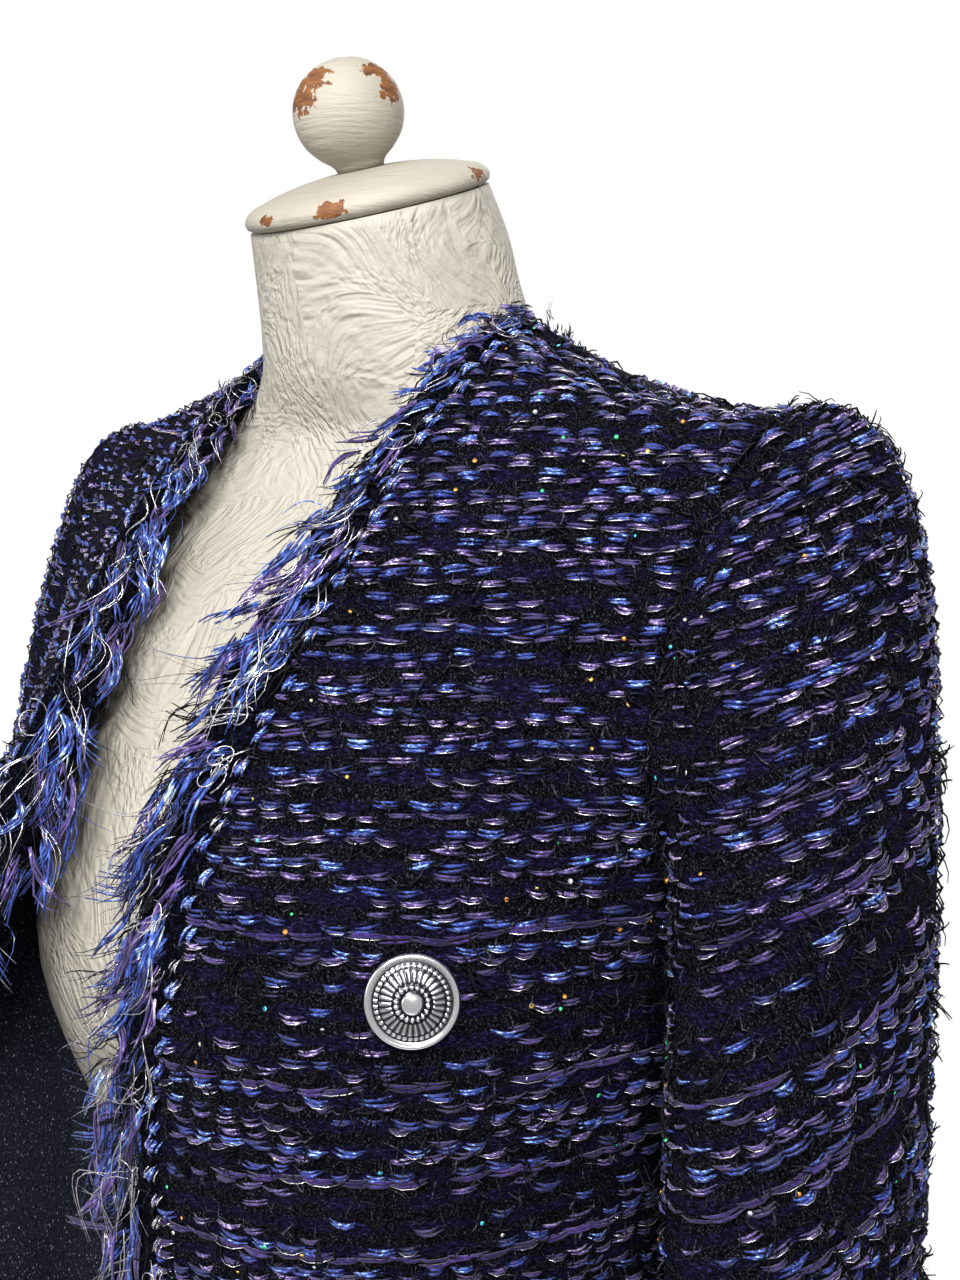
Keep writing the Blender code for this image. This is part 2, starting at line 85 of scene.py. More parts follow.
# The right front hangs open: t, how far its edge lies nearer the centre, lower, swing in degrees.
OPENING = np.array([
    (0.000, 0, 0, 24), (0.340, 0, 0, 26), (0.500, 0, 0, 24), (0.610, 3, 0, 17), (0.670, 8, 0, 9),
    (0.750, 15, 0, 1), (0.830, 20, 3, 0), (0.910, 18, 8, 0), (0.965, 8, 8, 0), (1.000, 0, 0, 0),
], float)
HINGE = (150, -90)

# Largest folds of a front: s and t at the top, s and t at the bottom, half width in s, height.
FOLDS = (
    (0.86, 0.66, 0.80, 0.00, 0.10, -9.0),
    (0.58, 0.56, 0.55, 0.00, 0.12, 6.0),
    (0.28, 0.50, 0.26, 0.00, 0.12, -6.0),
)

# Left sleeve below the biceps: v, centre xyz, half thickness, half width.
SLEEVE = np.array([
    (0.00, 206, -35, 500, 32, 56),
    (0.25, 207, -41, 420, 32, 56),
    (0.50, 209, -46, 330, 32, 54),
    (0.75, 215, -57, 220, 31, 49),
    (1.00, 226, -72, 100, 30, 45),
], float)
SLEEVE_DOWN = (0.02, -0.13, -1.0)
UNDERARM_TURN = 25.0
RIGHT_SLEEVE_BACK = 33 * MM

# Dress form rings: z, half width, front depth, back depth, centre y, forward tilt in degrees.
FORM = np.array([
    (0, 160, 104, 120, 0, 0), (90, 172, 108, 134, 0, 0), (190, 154, 106, 116, 0, 0),
    (310, 118, 98, 84, 0, 0), (410, 133, 114, 90, 0, 0), (500, 153, 139, 104, 0, 0),
    (560, 155, 124, 112, 0, 0), (610, 156, 99, 112, 0, 0), (650, 158, 68, 102, 0, 0),
    (680, 160, 46, 76, 4, 2), (696, 122, 42, 55, 8, 5), (710, 80, 45, 46, 8, 10),
    (724, 61, 48, 44, 5, 12), (740, 54, 48, 45, 1, 14), (760, 50, 47, 47, -4, 15),
    (779, 46, 45, 45, -10, 16),
], float)
FORM_SQUARENESS = 2.15
# Turned wood on the neck, upwards: radius, height.
CAP_PROFILE = ((44, 0.3), (47, 1.5), (47.8, 4.0), (46, 6.8), (38.5, 10.0), (27, 12.8), (14, 14.4),
               (0.5, 14.7))
FINIAL_PROFILE = ((9.0, 0.0), (9.5, 1.5), (14.0, 5.5), (18.6, 11.0), (21, 20.0), (19.4, 28.2), (14.6, 34.8),
                  (8.0, 38.9), (0.5, 40.3))
FINIAL_SEAT = 14.8
# Corners round the form, the cap and the finial.
FORM_SECTORS = 96
CAP_SECTORS = 96
FINIAL_SECTORS = 80
# Chips in the paint: turn in degrees, height, radius.
CAP_CHIPS = ((-98, 5.0, 2.6), (-62, 5.0, 3.6), (18, 5.5, 3.0))
FINIAL_CHIPS = ((-96, 35, 5.5), (-106, 28.5, 5.5), (8, 33, 4.2), (14, 25.5, 4.4))
# Buttons of a front: s, t.
BUTTONS = ((0.432, 0.649), (0.440, 0.497), (0.440, 0.342))

# Weave, upwards in one repeat: height, yarn, float length, float width, share kept, share with silver.
REPEAT = 17.4 * MM
WEAVE = (
    (0.0, "purple", 8.4, 2.3, 0.90, 0.75),
    (2.6, "blue", 8.2, 2.6, 0.86, 0.10),
    (7.2, "purple", 8.8, 2.1, 0.84, 0.45),
    (10.3, "blue", 9.0, 3.0, 0.95, 0.15),
    (13.4, "purple", 8.6, 2.2, 0.80, 0.20),
)
WEAVE_START = 30.0 * MM
FLOAT_PITCH = 9.8 * MM
# Below this height, and on the inner side of a sleeve, floats have one ply.
FINE_FROM = 0.37
# Dark bands with few floats: height, half height, share kept.
DARK_BANDS = ((0.515, 0.016, 0.30), (0.452, 0.012, 0.28), (0.390, 0.012, 0.30), (0.300, 0.010, 0.30))
# Heights of rows of thick matt purple roving, and their yarn, length, width, share kept, share with silver.
ROVING = np.array([0.5405, 0.497, 0.465, 0.437, 0.404, 0.376])
ROVING_REACH = 1.9 * MM
ROVING_ROW = ("roving", 13.0, 2.7, 1.0, 0.35)
# How much higher the bands lie on a sleeve.
SLEEVE_BAND_RISE = 26.0 * MM
# How far floats and their plies stray, in millimetres.
STRAY = {"place": 0.8, "level": 0.42, "slant": 0.30, "ply": 0.16, "cross": 0.22, "rise": 0.18}
# Ranges of a row's share, a float's length and its sag.
ROW_SHARE = (0.75, 1.05)
SPAN_SHARE = (0.72, 1.18)
SMILE = (-0.1, 0.9)
# Shortest float as a share of its length, and the widest as grid columns.
SHORTEST = 0.20
WIDEST_GAP = 14
# A float's height above the cloth, depth of its ends, flatness, and the silver thread's thickness.
CROWN = 1.15 * MM
SUNK = 0.30 * MM
FLAT = 0.62
THREAD = 0.48 * MM
# Share of a float's width that a ply has, alone or as one of two, and how far apart two lie.
ONE_PLY = 0.95
TWO_PLY = 0.62
PLY_APART = 0.45
# Above this height the rows follow the slope of the shoulder.
SHOULDER_FROM = 0.645
# Shares of curls along the seams and of tufts along the edges; hairs in a tuft.
SEAM_CURLS = 0.05
EDGE_TUFTS = 0.18
HAIRS = 5
HAIR_LENGTH = 9.0 * MM
# Hairs: range of their share of that length, rise, thickness in millimetres.
HAIR = {"share": (0.5, 1.2), "rise": (0.1, 0.8), "thick": (0.5, 1.2)}
# Curls: ranges of half length, rise and thickness in millimetres, spread of lean and bend.
CURL = {"reach": (2.0, 4.6), "rise": (1.0, 2.4), "thick": (0.5, 1.15), "lean": 0.75, "bend": 0.45}
# Cloth wall, in millimetres: depth of its outer and inner face, spread of its lumps.
WALL = {"outer": 0.25, "inner": 1.7, "lumps": 0.22}
# Foil discs: range of size, height on the cloth and thickness in millimetres, spread of tilt, shades.
DISC = {"size": (1.0, 1.8), "height": 0.9, "thick": 0.15, "tilt": 0.35}
FOIL_SHADES = [0.05, 0.25, 0.45, 0.65, 0.85, 1.0]
# Step between the grid rows and columns of the shell, how far places stay from a grid's end, columns of
# the neck fringe each side.
SHELL_STEP = 2
PAST_END = 1.001
NECK_COLUMNS = 20
# Room that the loose yarn may take up.
REACH = np.array([(-0.27, -0.205, 0.001), (0.27, 0.205, 0.86)])

# Pieces of cloth: name, lean of the rows, points along a float, plies, share of floats kept, margin at the
# edge, curls, tufts, sparkles, flat width and length, flat area.
CLOTHS = (
    ("front_left", (0, 0, 0), 4, 2, 1.0, 1.5, 3600, 480, 130, (0.264, 0.705), 0.129),
    ("front_right", (0, 0, 0), 3, 1, 0.65, 1.5, 1300, 110, 60, (0.255, 0.715), 0.133),
    ("back", (0, 0, 0), 3, 1, 0.75, 0.4, 1300, 150, 80, (0.558, 0.705), 0.289),
    ("sleeve_left", (0.30, 0.27, 0), 4, 2, 1.0, 0.4, 3800, 600, 130, (0.287, 0.630), 0.149),
    ("sleeve_right", (-0.30, 0.27, 0), 3, 1, 0.75, 0.4, 900, 120, 70, (0.288, 0.625), 0.147),
)

# Camera fitted to the photograph: place, yaw, pitch and roll in degrees, focal length in frame heights.
CAMERA_PLACE = (0.433, -0.432, 0.694)
CAMERA_TURN = (42.0, 7.8, -1.0)
CAMERA_FOCAL = 1530.0 / 1280.0
SENSOR = 36.0
FLOOR_RADIUS = 0.55
FLOOR_CORNERS = 64
SKY_STRENGTH = 0.48
# Lights: name, place, target, size, power.
LIGHTS = (
    ("key", (1.35, -1.25, 1.55), (0.08, 0, 0.55), 0.35, 38),
    ("front", (0.45, -1.15, 1.70), (0.0, 0, 0.55), 0.6, 24),
    ("fill", (-0.9, -1.3, 1.0), (0.0, 0, 0.5), 1.0, 6),
    ("back", (-0.7, 1.6, 1.3), (0.0, 0, 0.5), 1.0, 10),
)

rng = np.random.default_rng(11)


def unit(v):
    return v / np.maximum(np.linalg.norm(v, axis=-1, keepdims=True), 1e-12)


def smooth(x):
    x = np.clip(x, 0, 1)
    return x * x * (3 - 2 * x)


def mirrored(p):
    return p * np.array([-1, 1, 1])


def between(low, high, *shape):
    return rng.uniform(low, high, shape)


def about(size, *shape):
    return rng.normal(0, size, shape)


def around(count):
    """Angles of a ring of points."""
    return 2 * math.pi * np.arange(count) / count


def arc_length(p):
    """Distance along a line of points from its start."""
    return np.concatenate([[0], np.cumsum(np.linalg.norm(np.diff(p, axis=0), axis=1))])


def hermite(u, a, slope_a, b, slope_b):
    """Cubic from a to b with the slopes given."""
    return ((2 * u**3 - 3 * u**2 + 1) * a + (u**3 - 2 * u**2 + u) * slope_a
            + (3 * u**2 - 2 * u**3) * b + (u**3 - u**2) * slope_b)


def through(knots, rows, t):
    """Smooth curve through table rows at sorted knots, read at t."""
    t = np.asarray(t, float)
    column = (-1,) + (1,) * (rows.ndim - 1)
    step = np.diff(knots).reshape(column)
    rise = np.diff(rows, axis=0) / step
    inner = (rise[:-1] * step[1:] + rise[1:] * step[:-1]) / (step[1:] + step[:-1])
    slope = np.concatenate([rise[:1], inner, rise[-1:]])
    i = np.clip(np.searchsorted(knots, t, side="right") - 1, 0, len(knots) - 2)
    h = step[i]
    u = (t - knots[i]).reshape(column) / h
    return hermite(u, rows[i], h * slope[i], rows[i + 1], h * slope[i + 1])


def parabola(a, b, c, s):
    """Curve through a, b and c at s of 0, a half and 1."""
    s = s[:, None]
    return (1 - s) * (1 - 2 * s) * a + 4 * s * (1 - s) * b + s * (2 * s - 1) * c


def grid_normals(p):
    along = np.gradient(p, axis=0)
    across = np.gradient(p, axis=1)
    return unit(np.cross(across, along))


def fold_height(s, t):
    """Height of the folds over a front, none at the seams."""
    height = np.zeros((len(t), len(s)))
    for top_s, top_t, low_s, low_t, half, rise in FOLDS:
        along = np.clip((top_t - t) / (top_t - low_t), 0, 1)
        middle = top_s + (low_s - top_s) * along
        across = (s[None, :] - middle[:, None]) / half
        fade = np.sin(np.minimum(along * 2.2, 1) * math.pi / 2) ** 2
        height += rise * MM * fade[:, None] * np.exp(-across**2)
    return height * np.clip((1 - s) / 0.12, 0, 1)


def front_surface(s, t, is_open):
    """Outer face of a front on the wearer's left; the open one is mirrored afterwards."""
    moved = through(OPENING[:, 0], OPENING[:, 1:3], FRONT[:, 0])
    rows = []
    for row, (inward, lower) in zip(FRONT, moved):
        edge = row[1:4] + (np.array([-inward, -0.3 * inward, -lower]) if is_open else 0)
        rows.append(parabola(edge, row[4:7], row[7:10], s))
    p = through(FRONT[:, 0], np.array(rows), t) * MM
    p = p + grid_normals(p) * fold_height(s, t)[..., None]
    if is_open:
        degrees = through(OPENING[:, 0], OPENING[:, 3:4], t)
        reach = np.clip((0.62 - s) / 0.62, 0, 1)
        turn = np.radians(degrees) * (1 - (1 - reach) ** 2)
        hinge = np.array(HINGE) * MM
        q = p[..., :2] - hinge
        p[..., 0] = hinge[0] + q[..., 0] * np.cos(turn) - q[..., 1] * np.sin(turn)
        p[..., 1] = hinge[1] + q[..., 0] * np.sin(turn) + q[..., 1] * np.cos(turn)
    return p


def back_surface(s, t):
    """Outer face of the back's left half, from the centre line to the side seam and armhole."""
    stops = np.array([0, NECK_S, 2 / 3, 1])
    turn = np.minimum(s / NECK_S, 1) * math.pi / 2
    rows = []
    for row in BACK:
        points = row[1:].reshape(4, 3)
        centre, neck, middle, tip = points
        curve = np.zeros((len(s), 3))
        for i in range(4):
            others = np.delete(stops, i)
            share = np.prod([(s - o) / (stops[i] - o) for o in others], axis=0)
            curve += share[:, None] * points[i]
        if row[0] >= ROUND_NECK_T:
            round_neck = np.stack([neck[0] * np.sin(turn),
                                   neck[1] + (centre[1] - neck[1]) * np.cos(turn),
                                   centre[2] + (neck[2] - centre[2]) * (turn / (math.pi / 2)) ** 2], -1)
            shoulder = parabola(neck, middle, tip, np.clip((s - NECK_S) / (1 - NECK_S), 0, 1))
            curve = np.where((s < NECK_S)[:, None], round_neck, shoulder)
        rows.append(curve)
    return through(BACK[:, 0], np.array(rows), t) * MM


# Dense grids of the cloth, rows upwards.
T = np.concatenate([np.linspace(0, UNDERARM_T, 121), np.linspace(UNDERARM_T, 1, 81)[1:]])
S = np.linspace(0, 1, 61)
UNDER = 120


class Cloth:
    """A grid of points with normals, read between its rows and columns."""

    def __init__(self, name, points, normals):
        self.name = name
        self.p = points
        self.n = normals
        self.rows, self.columns = points.shape[:2]
        self.is_sleeve = name.startswith("sleeve")

    def at(self, r, c):
        i = np.clip(r.astype(int), 0, self.rows - 2)
        j = np.clip(c.astype(int), 0, self.columns - 2)
        u = (r - i)[..., None]
        w = (c - j)[..., None]
        out = []
        for g in (self.p, self.n):
            low = g[i, j] * (1 - w) + g[i, j + 1] * w
            high = g[i + 1, j] * (1 - w) + g[i + 1, j + 1] * w
            out.append(low * (1 - u) + high * u)
        return out[0], unit(out[1])


def sleeve_grid(front, front_normal, back, back_normal, back_shift):
    """Sleeve rings from the cuff up to the armhole, wrapped once round from the underarm."""
    up, down = slice(UNDER, None, 4), slice(-5, UNDER, -4)
    loop = np.concatenate([front[up, -1], back[down, -1]])
    normal = np.concatenate([front_normal[up, -1], back_normal[down, -1]])
    tip = len(front[up])
    course = np.roll(loop, -1, axis=0) - np.roll(loop, 1, axis=0)
    onward = unit(np.cross(normal, course))
    onward = onward * np.sign(onward[tip - 1, 0])
    count = len(loop)
    angle = around(count)
    under = (0.5 + 0.5 * np.cos(angle))[:, None]
    station = through(SLEEVE[:, 0], SLEEVE[:, 1:], np.linspace(0, 1, 101)) * MM
    station[:, 1] += back_shift
    turned = angle - math.radians(UNDERARM_TURN) * under[:, 0] ** 2
    rings = np.stack([station[:, 0:1] - station[:, 3:4] * np.cos(turned),
                      station[:, 1:2] - station[:, 4:5] * np.sin(turned),
                      np.repeat(station[:, 2:3], count, 1)], -1)
    top = 1 - under
    start = unit(onward * (1 - 0.4 * under) + normal * 0.85 * np.sqrt(under))
    reach = np.linalg.norm(rings[0] - loop, axis=1)[:, None]
    first = start * (0.025 + 0.100 * top**2)
    last = unit(np.array(SLEEVE_DOWN)) * reach * (0.9 + 0.7 * top)
    u = (np.linspace(0, 1, 61) ** 1.25)[:, None, None]
    cap = hermite(u, loop + onward * 0.6 * MM, first, rings[0], last)
    grid = np.concatenate([cap, rings[1:]])[::-1]
    grid = np.concatenate([grid, grid[:, :1]], axis=1)
    along = np.gradient(grid, axis=0)
    across = np.gradient(grid, axis=1)
    across[:, 0] = across[:, -1] = (grid[:, 1] - grid[:, -2]) / 2
    away = unit(np.cross(across, along))
    return grid, away * np.sign(np.sum(away[0] * (grid[0] - grid[0].mean(0)), -1).mean())


def build_cloths():
    """The five cloth pieces as grids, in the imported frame."""
    left = front_surface(S, T, False)
    right = front_surface(S, T, True)
    half = back_surface(S, T)
    left_n, right_n, half_n = grid_normals(left), grid_normals(right), -grid_normals(half)
    cloths = {"front_left": (left, left_n), "front_right": (mirrored(right), mirrored(right_n))}
    whole = np.concatenate([mirrored(half[:, :0:-1]), half], axis=1)
    whole_n = np.concatenate([mirrored(half_n[:, :0:-1]), half_n], axis=1)
    cloths["back"] = (whole, whole_n)
    cloths["sleeve_left"] = sleeve_grid(left, left_n, half, half_n, 0)
    grid, away = sleeve_grid(right, right_n, half, half_n, RIGHT_SLEEVE_BACK)
    cloths["sleeve_right"] = (mirrored(grid), mirrored(away))
    return {name: Cloth(name, p + PLACE, n) for name, (p, n) in cloths.items()}


# Meshes.

def link(name, data):
    """Object for some data, put in the scene."""
    made = bpy.data.objects.new(name, data)
    bpy.context.scene.collection.objects.link(made)
    return made


def add_mesh(name, verts, loops, sizes, materials, slots=None, shade=None):
    """Mesh object from arrays: corner lists, corner counts, a material index a face and a shade a vertex."""
    mesh = bpy.data.meshes.new(name)
    mesh.vertices.add(len(verts))
    mesh.vertices.foreach_set("co", np.ascontiguousarray(verts, np.float32).ravel())
    mesh.loops.add(len(loops))
    mesh.loops.foreach_set("vertex_index", np.ascontiguousarray(loops, np.int32))
    mesh.polygons.add(len(sizes))
    starts = np.concatenate([[0], np.cumsum(sizes)[:-1]])
    mesh.polygons.foreach_set("loop_start", starts.astype(np.int32))
    if slots is not None:
        mesh.polygons.foreach_set("material_index", np.ascontiguousarray(slots, np.int32))
    if shade is not None:
        layer = mesh.attributes.new("shade", "FLOAT", "POINT")
        layer.data.foreach_set("value", np.ascontiguousarray(shade, np.float32))
    mesh.update(calc_edges=True)
    mesh.polygons.foreach_set("use_smooth", np.ones(len(sizes), bool))
    for m in materials:
        mesh.materials.append(m)
    return link(name, mesh)


def quad_grid(rows, columns, closed=False):
    """Corner lists of a grid of quads."""
    i = np.arange(columns if closed else columns - 1)
    k = (i + 1) % columns
    j = np.arange(rows - 1)[:, None] * columns
    return np.stack([j + i, j + k, j + columns + k, j + columns + i], -1).reshape(-1, 4)


def ringed(name, grid, material, shade=None, flip=False):
    """Mesh of closed rings (rings, corners, 3) with a cap at both ends."""
    rings, corners = grid.shape[:2]
    quads = quad_grid(rings, corners, True)
    near = np.arange(corners)[::-1]
    far = np.arange(corners) + (rings - 1) * corners
    if flip:
        quads, near, far = quads[:, ::-1], near[::-1], far[::-1]
    loops = np.concatenate([quads.ravel(), near, far])
    sizes = np.concatenate([np.full(len(quads), 4), [corners, corners]])
    return add_mesh(name, grid.reshape(-1, 3), loops, sizes, [material], None, shade)


def tidy_normals(made):
    work = bmesh.new()
    work.from_mesh(made.data)
    bmesh.ops.recalc_face_normals(work, faces=work.faces)
    work.to_mesh(made.data)
    work.free()
    return made


class Strands:
    """Gathers closed tubes of many strands into one mesh."""

    def __init__(self):
        self.verts, self.loops, self.sizes, self.slots, self.shade = [], [], [], [], []
        self.count = 0

    def add(self, centre, side, up, width, thick, slot, shade, sides=3):
        """Tubes along centre (n, m, 3) with section axes side and up and full sizes (n, m)."""
        n, m = centre.shape[:2]
        if n == 0:
            return self
        angle = 2 * math.pi * (np.arange(sides) + 0.5) / sides
        ring = (centre[:, :, None] + side[:, :, None] * (width[..., None, None] / 2) * np.cos(angle)[:, None]
                + up[:, :, None] * (thick[..., None, None] / 2) * np.sin(angle)[:, None])
        self.verts.append(ring.reshape(-1, 3))
        quads = quad_grid(m, sides, closed=True)
        starts = self.count + np.arange(n)[:, None, None] * m * sides
        caps = np.stack([np.arange(sides)[::-1], np.arange(sides) + (m - 1) * sides])
        self.loops += [(quads[None] + starts).ravel(), (caps[None] + starts).ravel()]
        self.sizes += [np.full(n * len(quads), 4), np.full(n * 2, sides)]
        self.slots.append(np.full(n * (len(quads) + 2), slot))
        self.shade.append(np.repeat(shade, m * sides))
        self.count += n * m * sides
        return self

    def add_on(self, centre, normal, width, thick, slot, shade):
        """Tubes whose sections stand on a normal (n, 3), kept in the room for loose yarn."""
        along = unit(np.gradient(centre, axis=1))
        across = unit(np.cross(along, normal[:, None]))
        return self.add(np.clip(centre, *REACH), across, np.cross(across, along), width, thick, slot, shade)

    def build(self, name, materials):
        return add_mesh(name, np.concatenate(self.verts), np.concatenate(self.loops),
                        np.concatenate(self.sizes), materials, np.concatenate(self.slots),
                        np.concatenate(self.shade))


# Materials.

class Nodes:
    """Node tree of a material or world, with a short call for each kind of node."""

    def __init__(self, owner):
        owner.use_nodes = True
        self.owner = owner
        self.tree = owner.node_tree
        self.shader = self.tree.nodes.get("Principled BSDF")

    def feed(self, node, inputs):
        """Link or set inputs, by name or number."""
        for key, value in inputs.items():
            if isinstance(value, bpy.types.NodeSocket):
                self.tree.links.new(value, node.inputs[key])
            else:
                node.inputs[key].default_value = value

    def add(self, kind, output, inputs, **settings):
        """New node with its settings and inputs; gives the output asked for."""
        node = self.tree.nodes.new("ShaderNode" + kind)
        for key, value in settings.items():
            setattr(node, key, value)
        self.feed(node, inputs)
        return node.outputs[output]

    def place(self):
        return self.add("TexCoord", "Object", {})

    def own_shade(self):
        return self.add("Attribute", "Fac", {}, attribute_name="shade")

    def noise(self, scale, detail, stretch=None, roughness=0.6, output="Fac"):
        """Noise in object space, stretched along the axes where asked."""
        where = self.place()
        if stretch:
            where = self.add("Mapping", "Vector", {"Scale": stretch, "Vector": where})
        return self.add("TexNoise", output,
                        {"Scale": scale, "Detail": detail, "Roughness": roughness, "Vector": where})

    def ramp(self, source, stops, interpolation="LINEAR"):
        """Colour ramp through (place, colour) stops."""
        node = self.tree.nodes.new("ShaderNodeValToRGB")
        elements = node.color_ramp.elements
        while len(elements) < len(stops):
            elements.new(0.5)
        for element, (place, colour) in zip(elements, stops):
            element.position = place
            element.color = (*colour, 1)
        node.color_ramp.interpolation = interpolation
        self.feed(node, {"Fac": source})
        return node.outputs["Color"]

    def mask(self, source, low, high, top=1.0):
        """Grey ramp from nothing at low to top at high."""
        return self.ramp(source, ((low, (0.0, 0.0, 0.0)), (high, (top, top, top))))

    def math(self, operation, a, b=0.0):
        return self.add("Math", "Value", {0: a, 1: b}, operation=operation)

    def mix(self, factor, a, b):
        return self.add("Mix", 2, {0: factor, 6: a, 7: b}, data_type="RGBA")

    def bump(self, height, strength, distance):
        normal = self.add("Bump", "Normal", {"Strength": strength, "Distance": distance, "Height": height})
        self.feed(self.shader, {"Normal": normal})

    def surface(self, colour, roughness, **others):
        """Set the shader; other inputs are named by the keys of SOCKETS."""
        self.feed(self.shader, {"Base Color": colour, "Roughness": roughness})
        self.feed(self.shader, {SOCKETS[key]: value for key, value in others.items()})
        return self.owner

    def close(self, output, surface):
        self.feed(self.tree.nodes[output], {"Surface": surface})


SOCKETS = {"metallic": "Metallic", "sheen": "Sheen Weight", "specular": "Specular IOR Level"}
DULL = 0.03

# Colour stops of the noises: place, colour.
CURL_STOPS = ((0.40, (0.0003, 0.0003, 0.0006)), (0.52, (0.0030, 0.0030, 0.0050)),
              (0.60, (0.018, 0.018, 0.028)), (0.69, (0.110, 0.110, 0.150)))
HAZE_STOPS = ((0.38, (0.001, 0.001, 0.003)), (0.52, (0.008, 0.005, 0.025)), (0.61, (0.011, 0.010, 0.060)),
              (0.70, (0.080, 0.054, 0.190)))
INSIDE_STOPS = ((0.40, (0.016, 0.018, 0.027)), (0.62, (0.040, 0.043, 0.066)), (0.68, (0.10, 0.10, 0.14)),
                (0.72, (0.75, 0.75, 0.85)))
MATTED_STOPS = ((0.40, (0.0005, 0.0005, 0.0010)), (0.54, (0.0030, 0.0030, 0.0070)),
                (0.64, (0.012, 0.014, 0.050)), (0.74, (0.060, 0.070, 0.160)))
SILVER_STOPS = ((0.35, (0.34, 0.32, 0.38)), (0.55, (0.75, 0.72, 0.76)), (0.70, (1.0, 0.98, 0.96)))
FOIL_STOPS = ((0.0, (0.10, 0.90, 0.35)), (0.2, (0.10, 0.75, 0.90)), (0.4, (1.0, 0.95, 0.80)),
              (0.6, (1.0, 0.70, 0.15)), (0.8, (1.0, 0.40, 0.10)), (0.95, (0.85, 0.85, 1.0)))
METAL_STOPS = ((0.05, (0.02, 0.02, 0.024)), (0.45, (0.30, 0.30, 0.32)), (0.8, (0.86, 0.86, 0.88)))
WOOD_STOPS = ((0.3, (0.070, 0.024, 0.009)), (0.7, (0.27, 0.098, 0.020)))
PLASTER_STOPS = ((0.35, (0.38, 0.35, 0.295)), (0.65, (0.435, 0.405, 0.345)))
# Cream of the cap and finial: the plaster's cream with painted shade, darker to offset the stronger light on
# their tops.
SHADED_CREAM_STOPS = ((0.35, (0.345, 0.312, 0.252)), (0.65, (0.395, 0.362, 0.298)))
# Places of a yarn's dark, middle, light and glint tones; the glint tone is a near-white painted highlight,
# on flecks that are also made metallic.
TONE_PLACES = (0.32, 0.50, 0.63, 0.70)


def new_material(name):
    return Nodes(bpy.data.materials.new(name))


def yarn_material(name, roughness, sheen, specular, grain, tones):
    """Fibrous yarn: streaks along its run, a shade of its own for each strand, and lurex flecks that are
    made metallic and given a near-white painted glint colour.
    """
    made = new_material(name)
    scale, stretch = grain
    streak = made.noise(scale, 3, stretch)
    mixed = made.math("ADD", streak, made.math("MULTIPLY", made.own_shade(), 0.30))
    tone = made.math("SUBTRACT", mixed, 0.15)
    made.bump(streak, 0.7, 0.0006)
    return made.surface(made.ramp(tone, tuple(zip(TONE_PLACES, tones))), roughness,
                        metallic=made.mask(tone, 0.60, 0.70, 0.7), sheen=sheen, specular=specular)


def ground_material():
    """Black boucle ground: matted fibres, with a patchy haze of purple and blue under the rows."""
    made = new_material("boucle_ground")
    curls = made.noise(1300, 3, None, 0.8)
    height = made.math("SUBTRACT", made.own_shade(), WEAVE_START + 1.4 * MM)
    wave = made.math("COSINE", made.math("MULTIPLY", height, 4 * math.pi / REPEAT))
    patchy = made.math("MULTIPLY", made.noise(75, 3), 1.6)
    level = made.math("ADD", made.math("MULTIPLY", wave, 0.25), patchy)
    haze = made.ramp(made.noise(520, 3, (1, 1, 3.0)), HAZE_STOPS)
    made.bump(curls, 1.0, 0.0016)
    return made.surface(made.mix(made.mask(level, 0.72, 1.0, 0.75), made.ramp(curls, CURL_STOPS), haze), 0.8,
                        specular=DULL)


def speckled_material(name, noise, stops, bump, roughness, **others):
    """One noise that gives both the colour and the bump."""
    made = new_material(name)
    specks = made.noise(*noise)
    made.bump(specks, *bump)
    return made.surface(made.ramp(specks, stops), roughness, **others)


def sequin_material():
    """Tiny foil sparkles in many colours, one for each piece."""
    made = new_material("foil_sparkle")
    return made.surface(made.ramp(made.own_shade(), FOIL_STOPS, "CONSTANT"), 0.2, metallic=0.6)


def button_material():
    """Polished silver-coloured metal, darkened in its hollows."""
    made = new_material("button_metal")
    made.bump(made.noise(900, 2), 0.15, 0.0003)
    return made.surface(made.ramp(made.own_shade(), METAL_STOPS), 0.2, metallic=1.0)


def cream_coat(made, bristles, strength, distance, stops):
    """Colour of a cream coat, with bristle marks and lumps as its bump."""
    lumps = made.math("MULTIPLY", made.noise(110, 3), 0.6)
    made.bump(made.math("ADD", bristles, lumps), strength, distance)
    return made.ramp(made.noise(22, 3), stops)


def plaster_material():
    """Cream coat laid on with a brush in short dabs every way."""
    made = new_material("plaster")
    warp = made.noise(17, 1, output="Color")
    pushed = made.add("VectorMath", "Vector", {0: warp, 1: (0.065, 0.065, 0.065), 2: made.place()},
                      operation="MULTIPLY_ADD")
    dabs = made.add("TexVoronoi", "Color", {"Scale": 30, "Vector": pushed})
    turn = made.add("VectorMath", "Vector", {0: dabs, "Scale": 6.3}, operation="SCALE")
    spun = made.add("VectorRotate", "Vector", {"Vector": pushed, "Rotation": turn},
                    rotation_type="EULER_XYZ")
    drawn = made.add("Mapping", "Vector", {"Vector": spun, "Scale": (0.5, 6.5, 6.5)})
    bristles = made.add("TexNoise", "Fac", {"Scale": 50, "Detail": 1, "Vector": drawn})
    return made.surface(cream_coat(made, bristles, 0.8, 0.0025, PLASTER_STOPS), 0.62)


def chipped_material():
    """Cream paint in level strokes on turned wood, with chips down to the wood; the cream is darker than the
    plaster's, as painted shade.
    """
    made = new_material("painted_wood")
    cream = cream_coat(made, made.noise(70, 3, (1, 1, 9)), 0.6, 0.0010, SHADED_CREAM_STOPS)
    worn = made.math("ADD", made.own_shade(), made.math("MULTIPLY", made.noise(300, 4), 1.5))
    bare = made.mask(made.math("MULTIPLY", worn, 0.5), 0.625, 0.640)
    wood = made.ramp(made.noise(140, 4, (1, 1, 4)), WOOD_STOPS)
    return made.surface(made.mix(bare, cream, wood), 0.62)


# Grain of yarn that lies along the rows, and of yarn that hangs.
LYING = (560, (1, 1, 3.6))
HANGING = (330, (1, 1, 0.30))
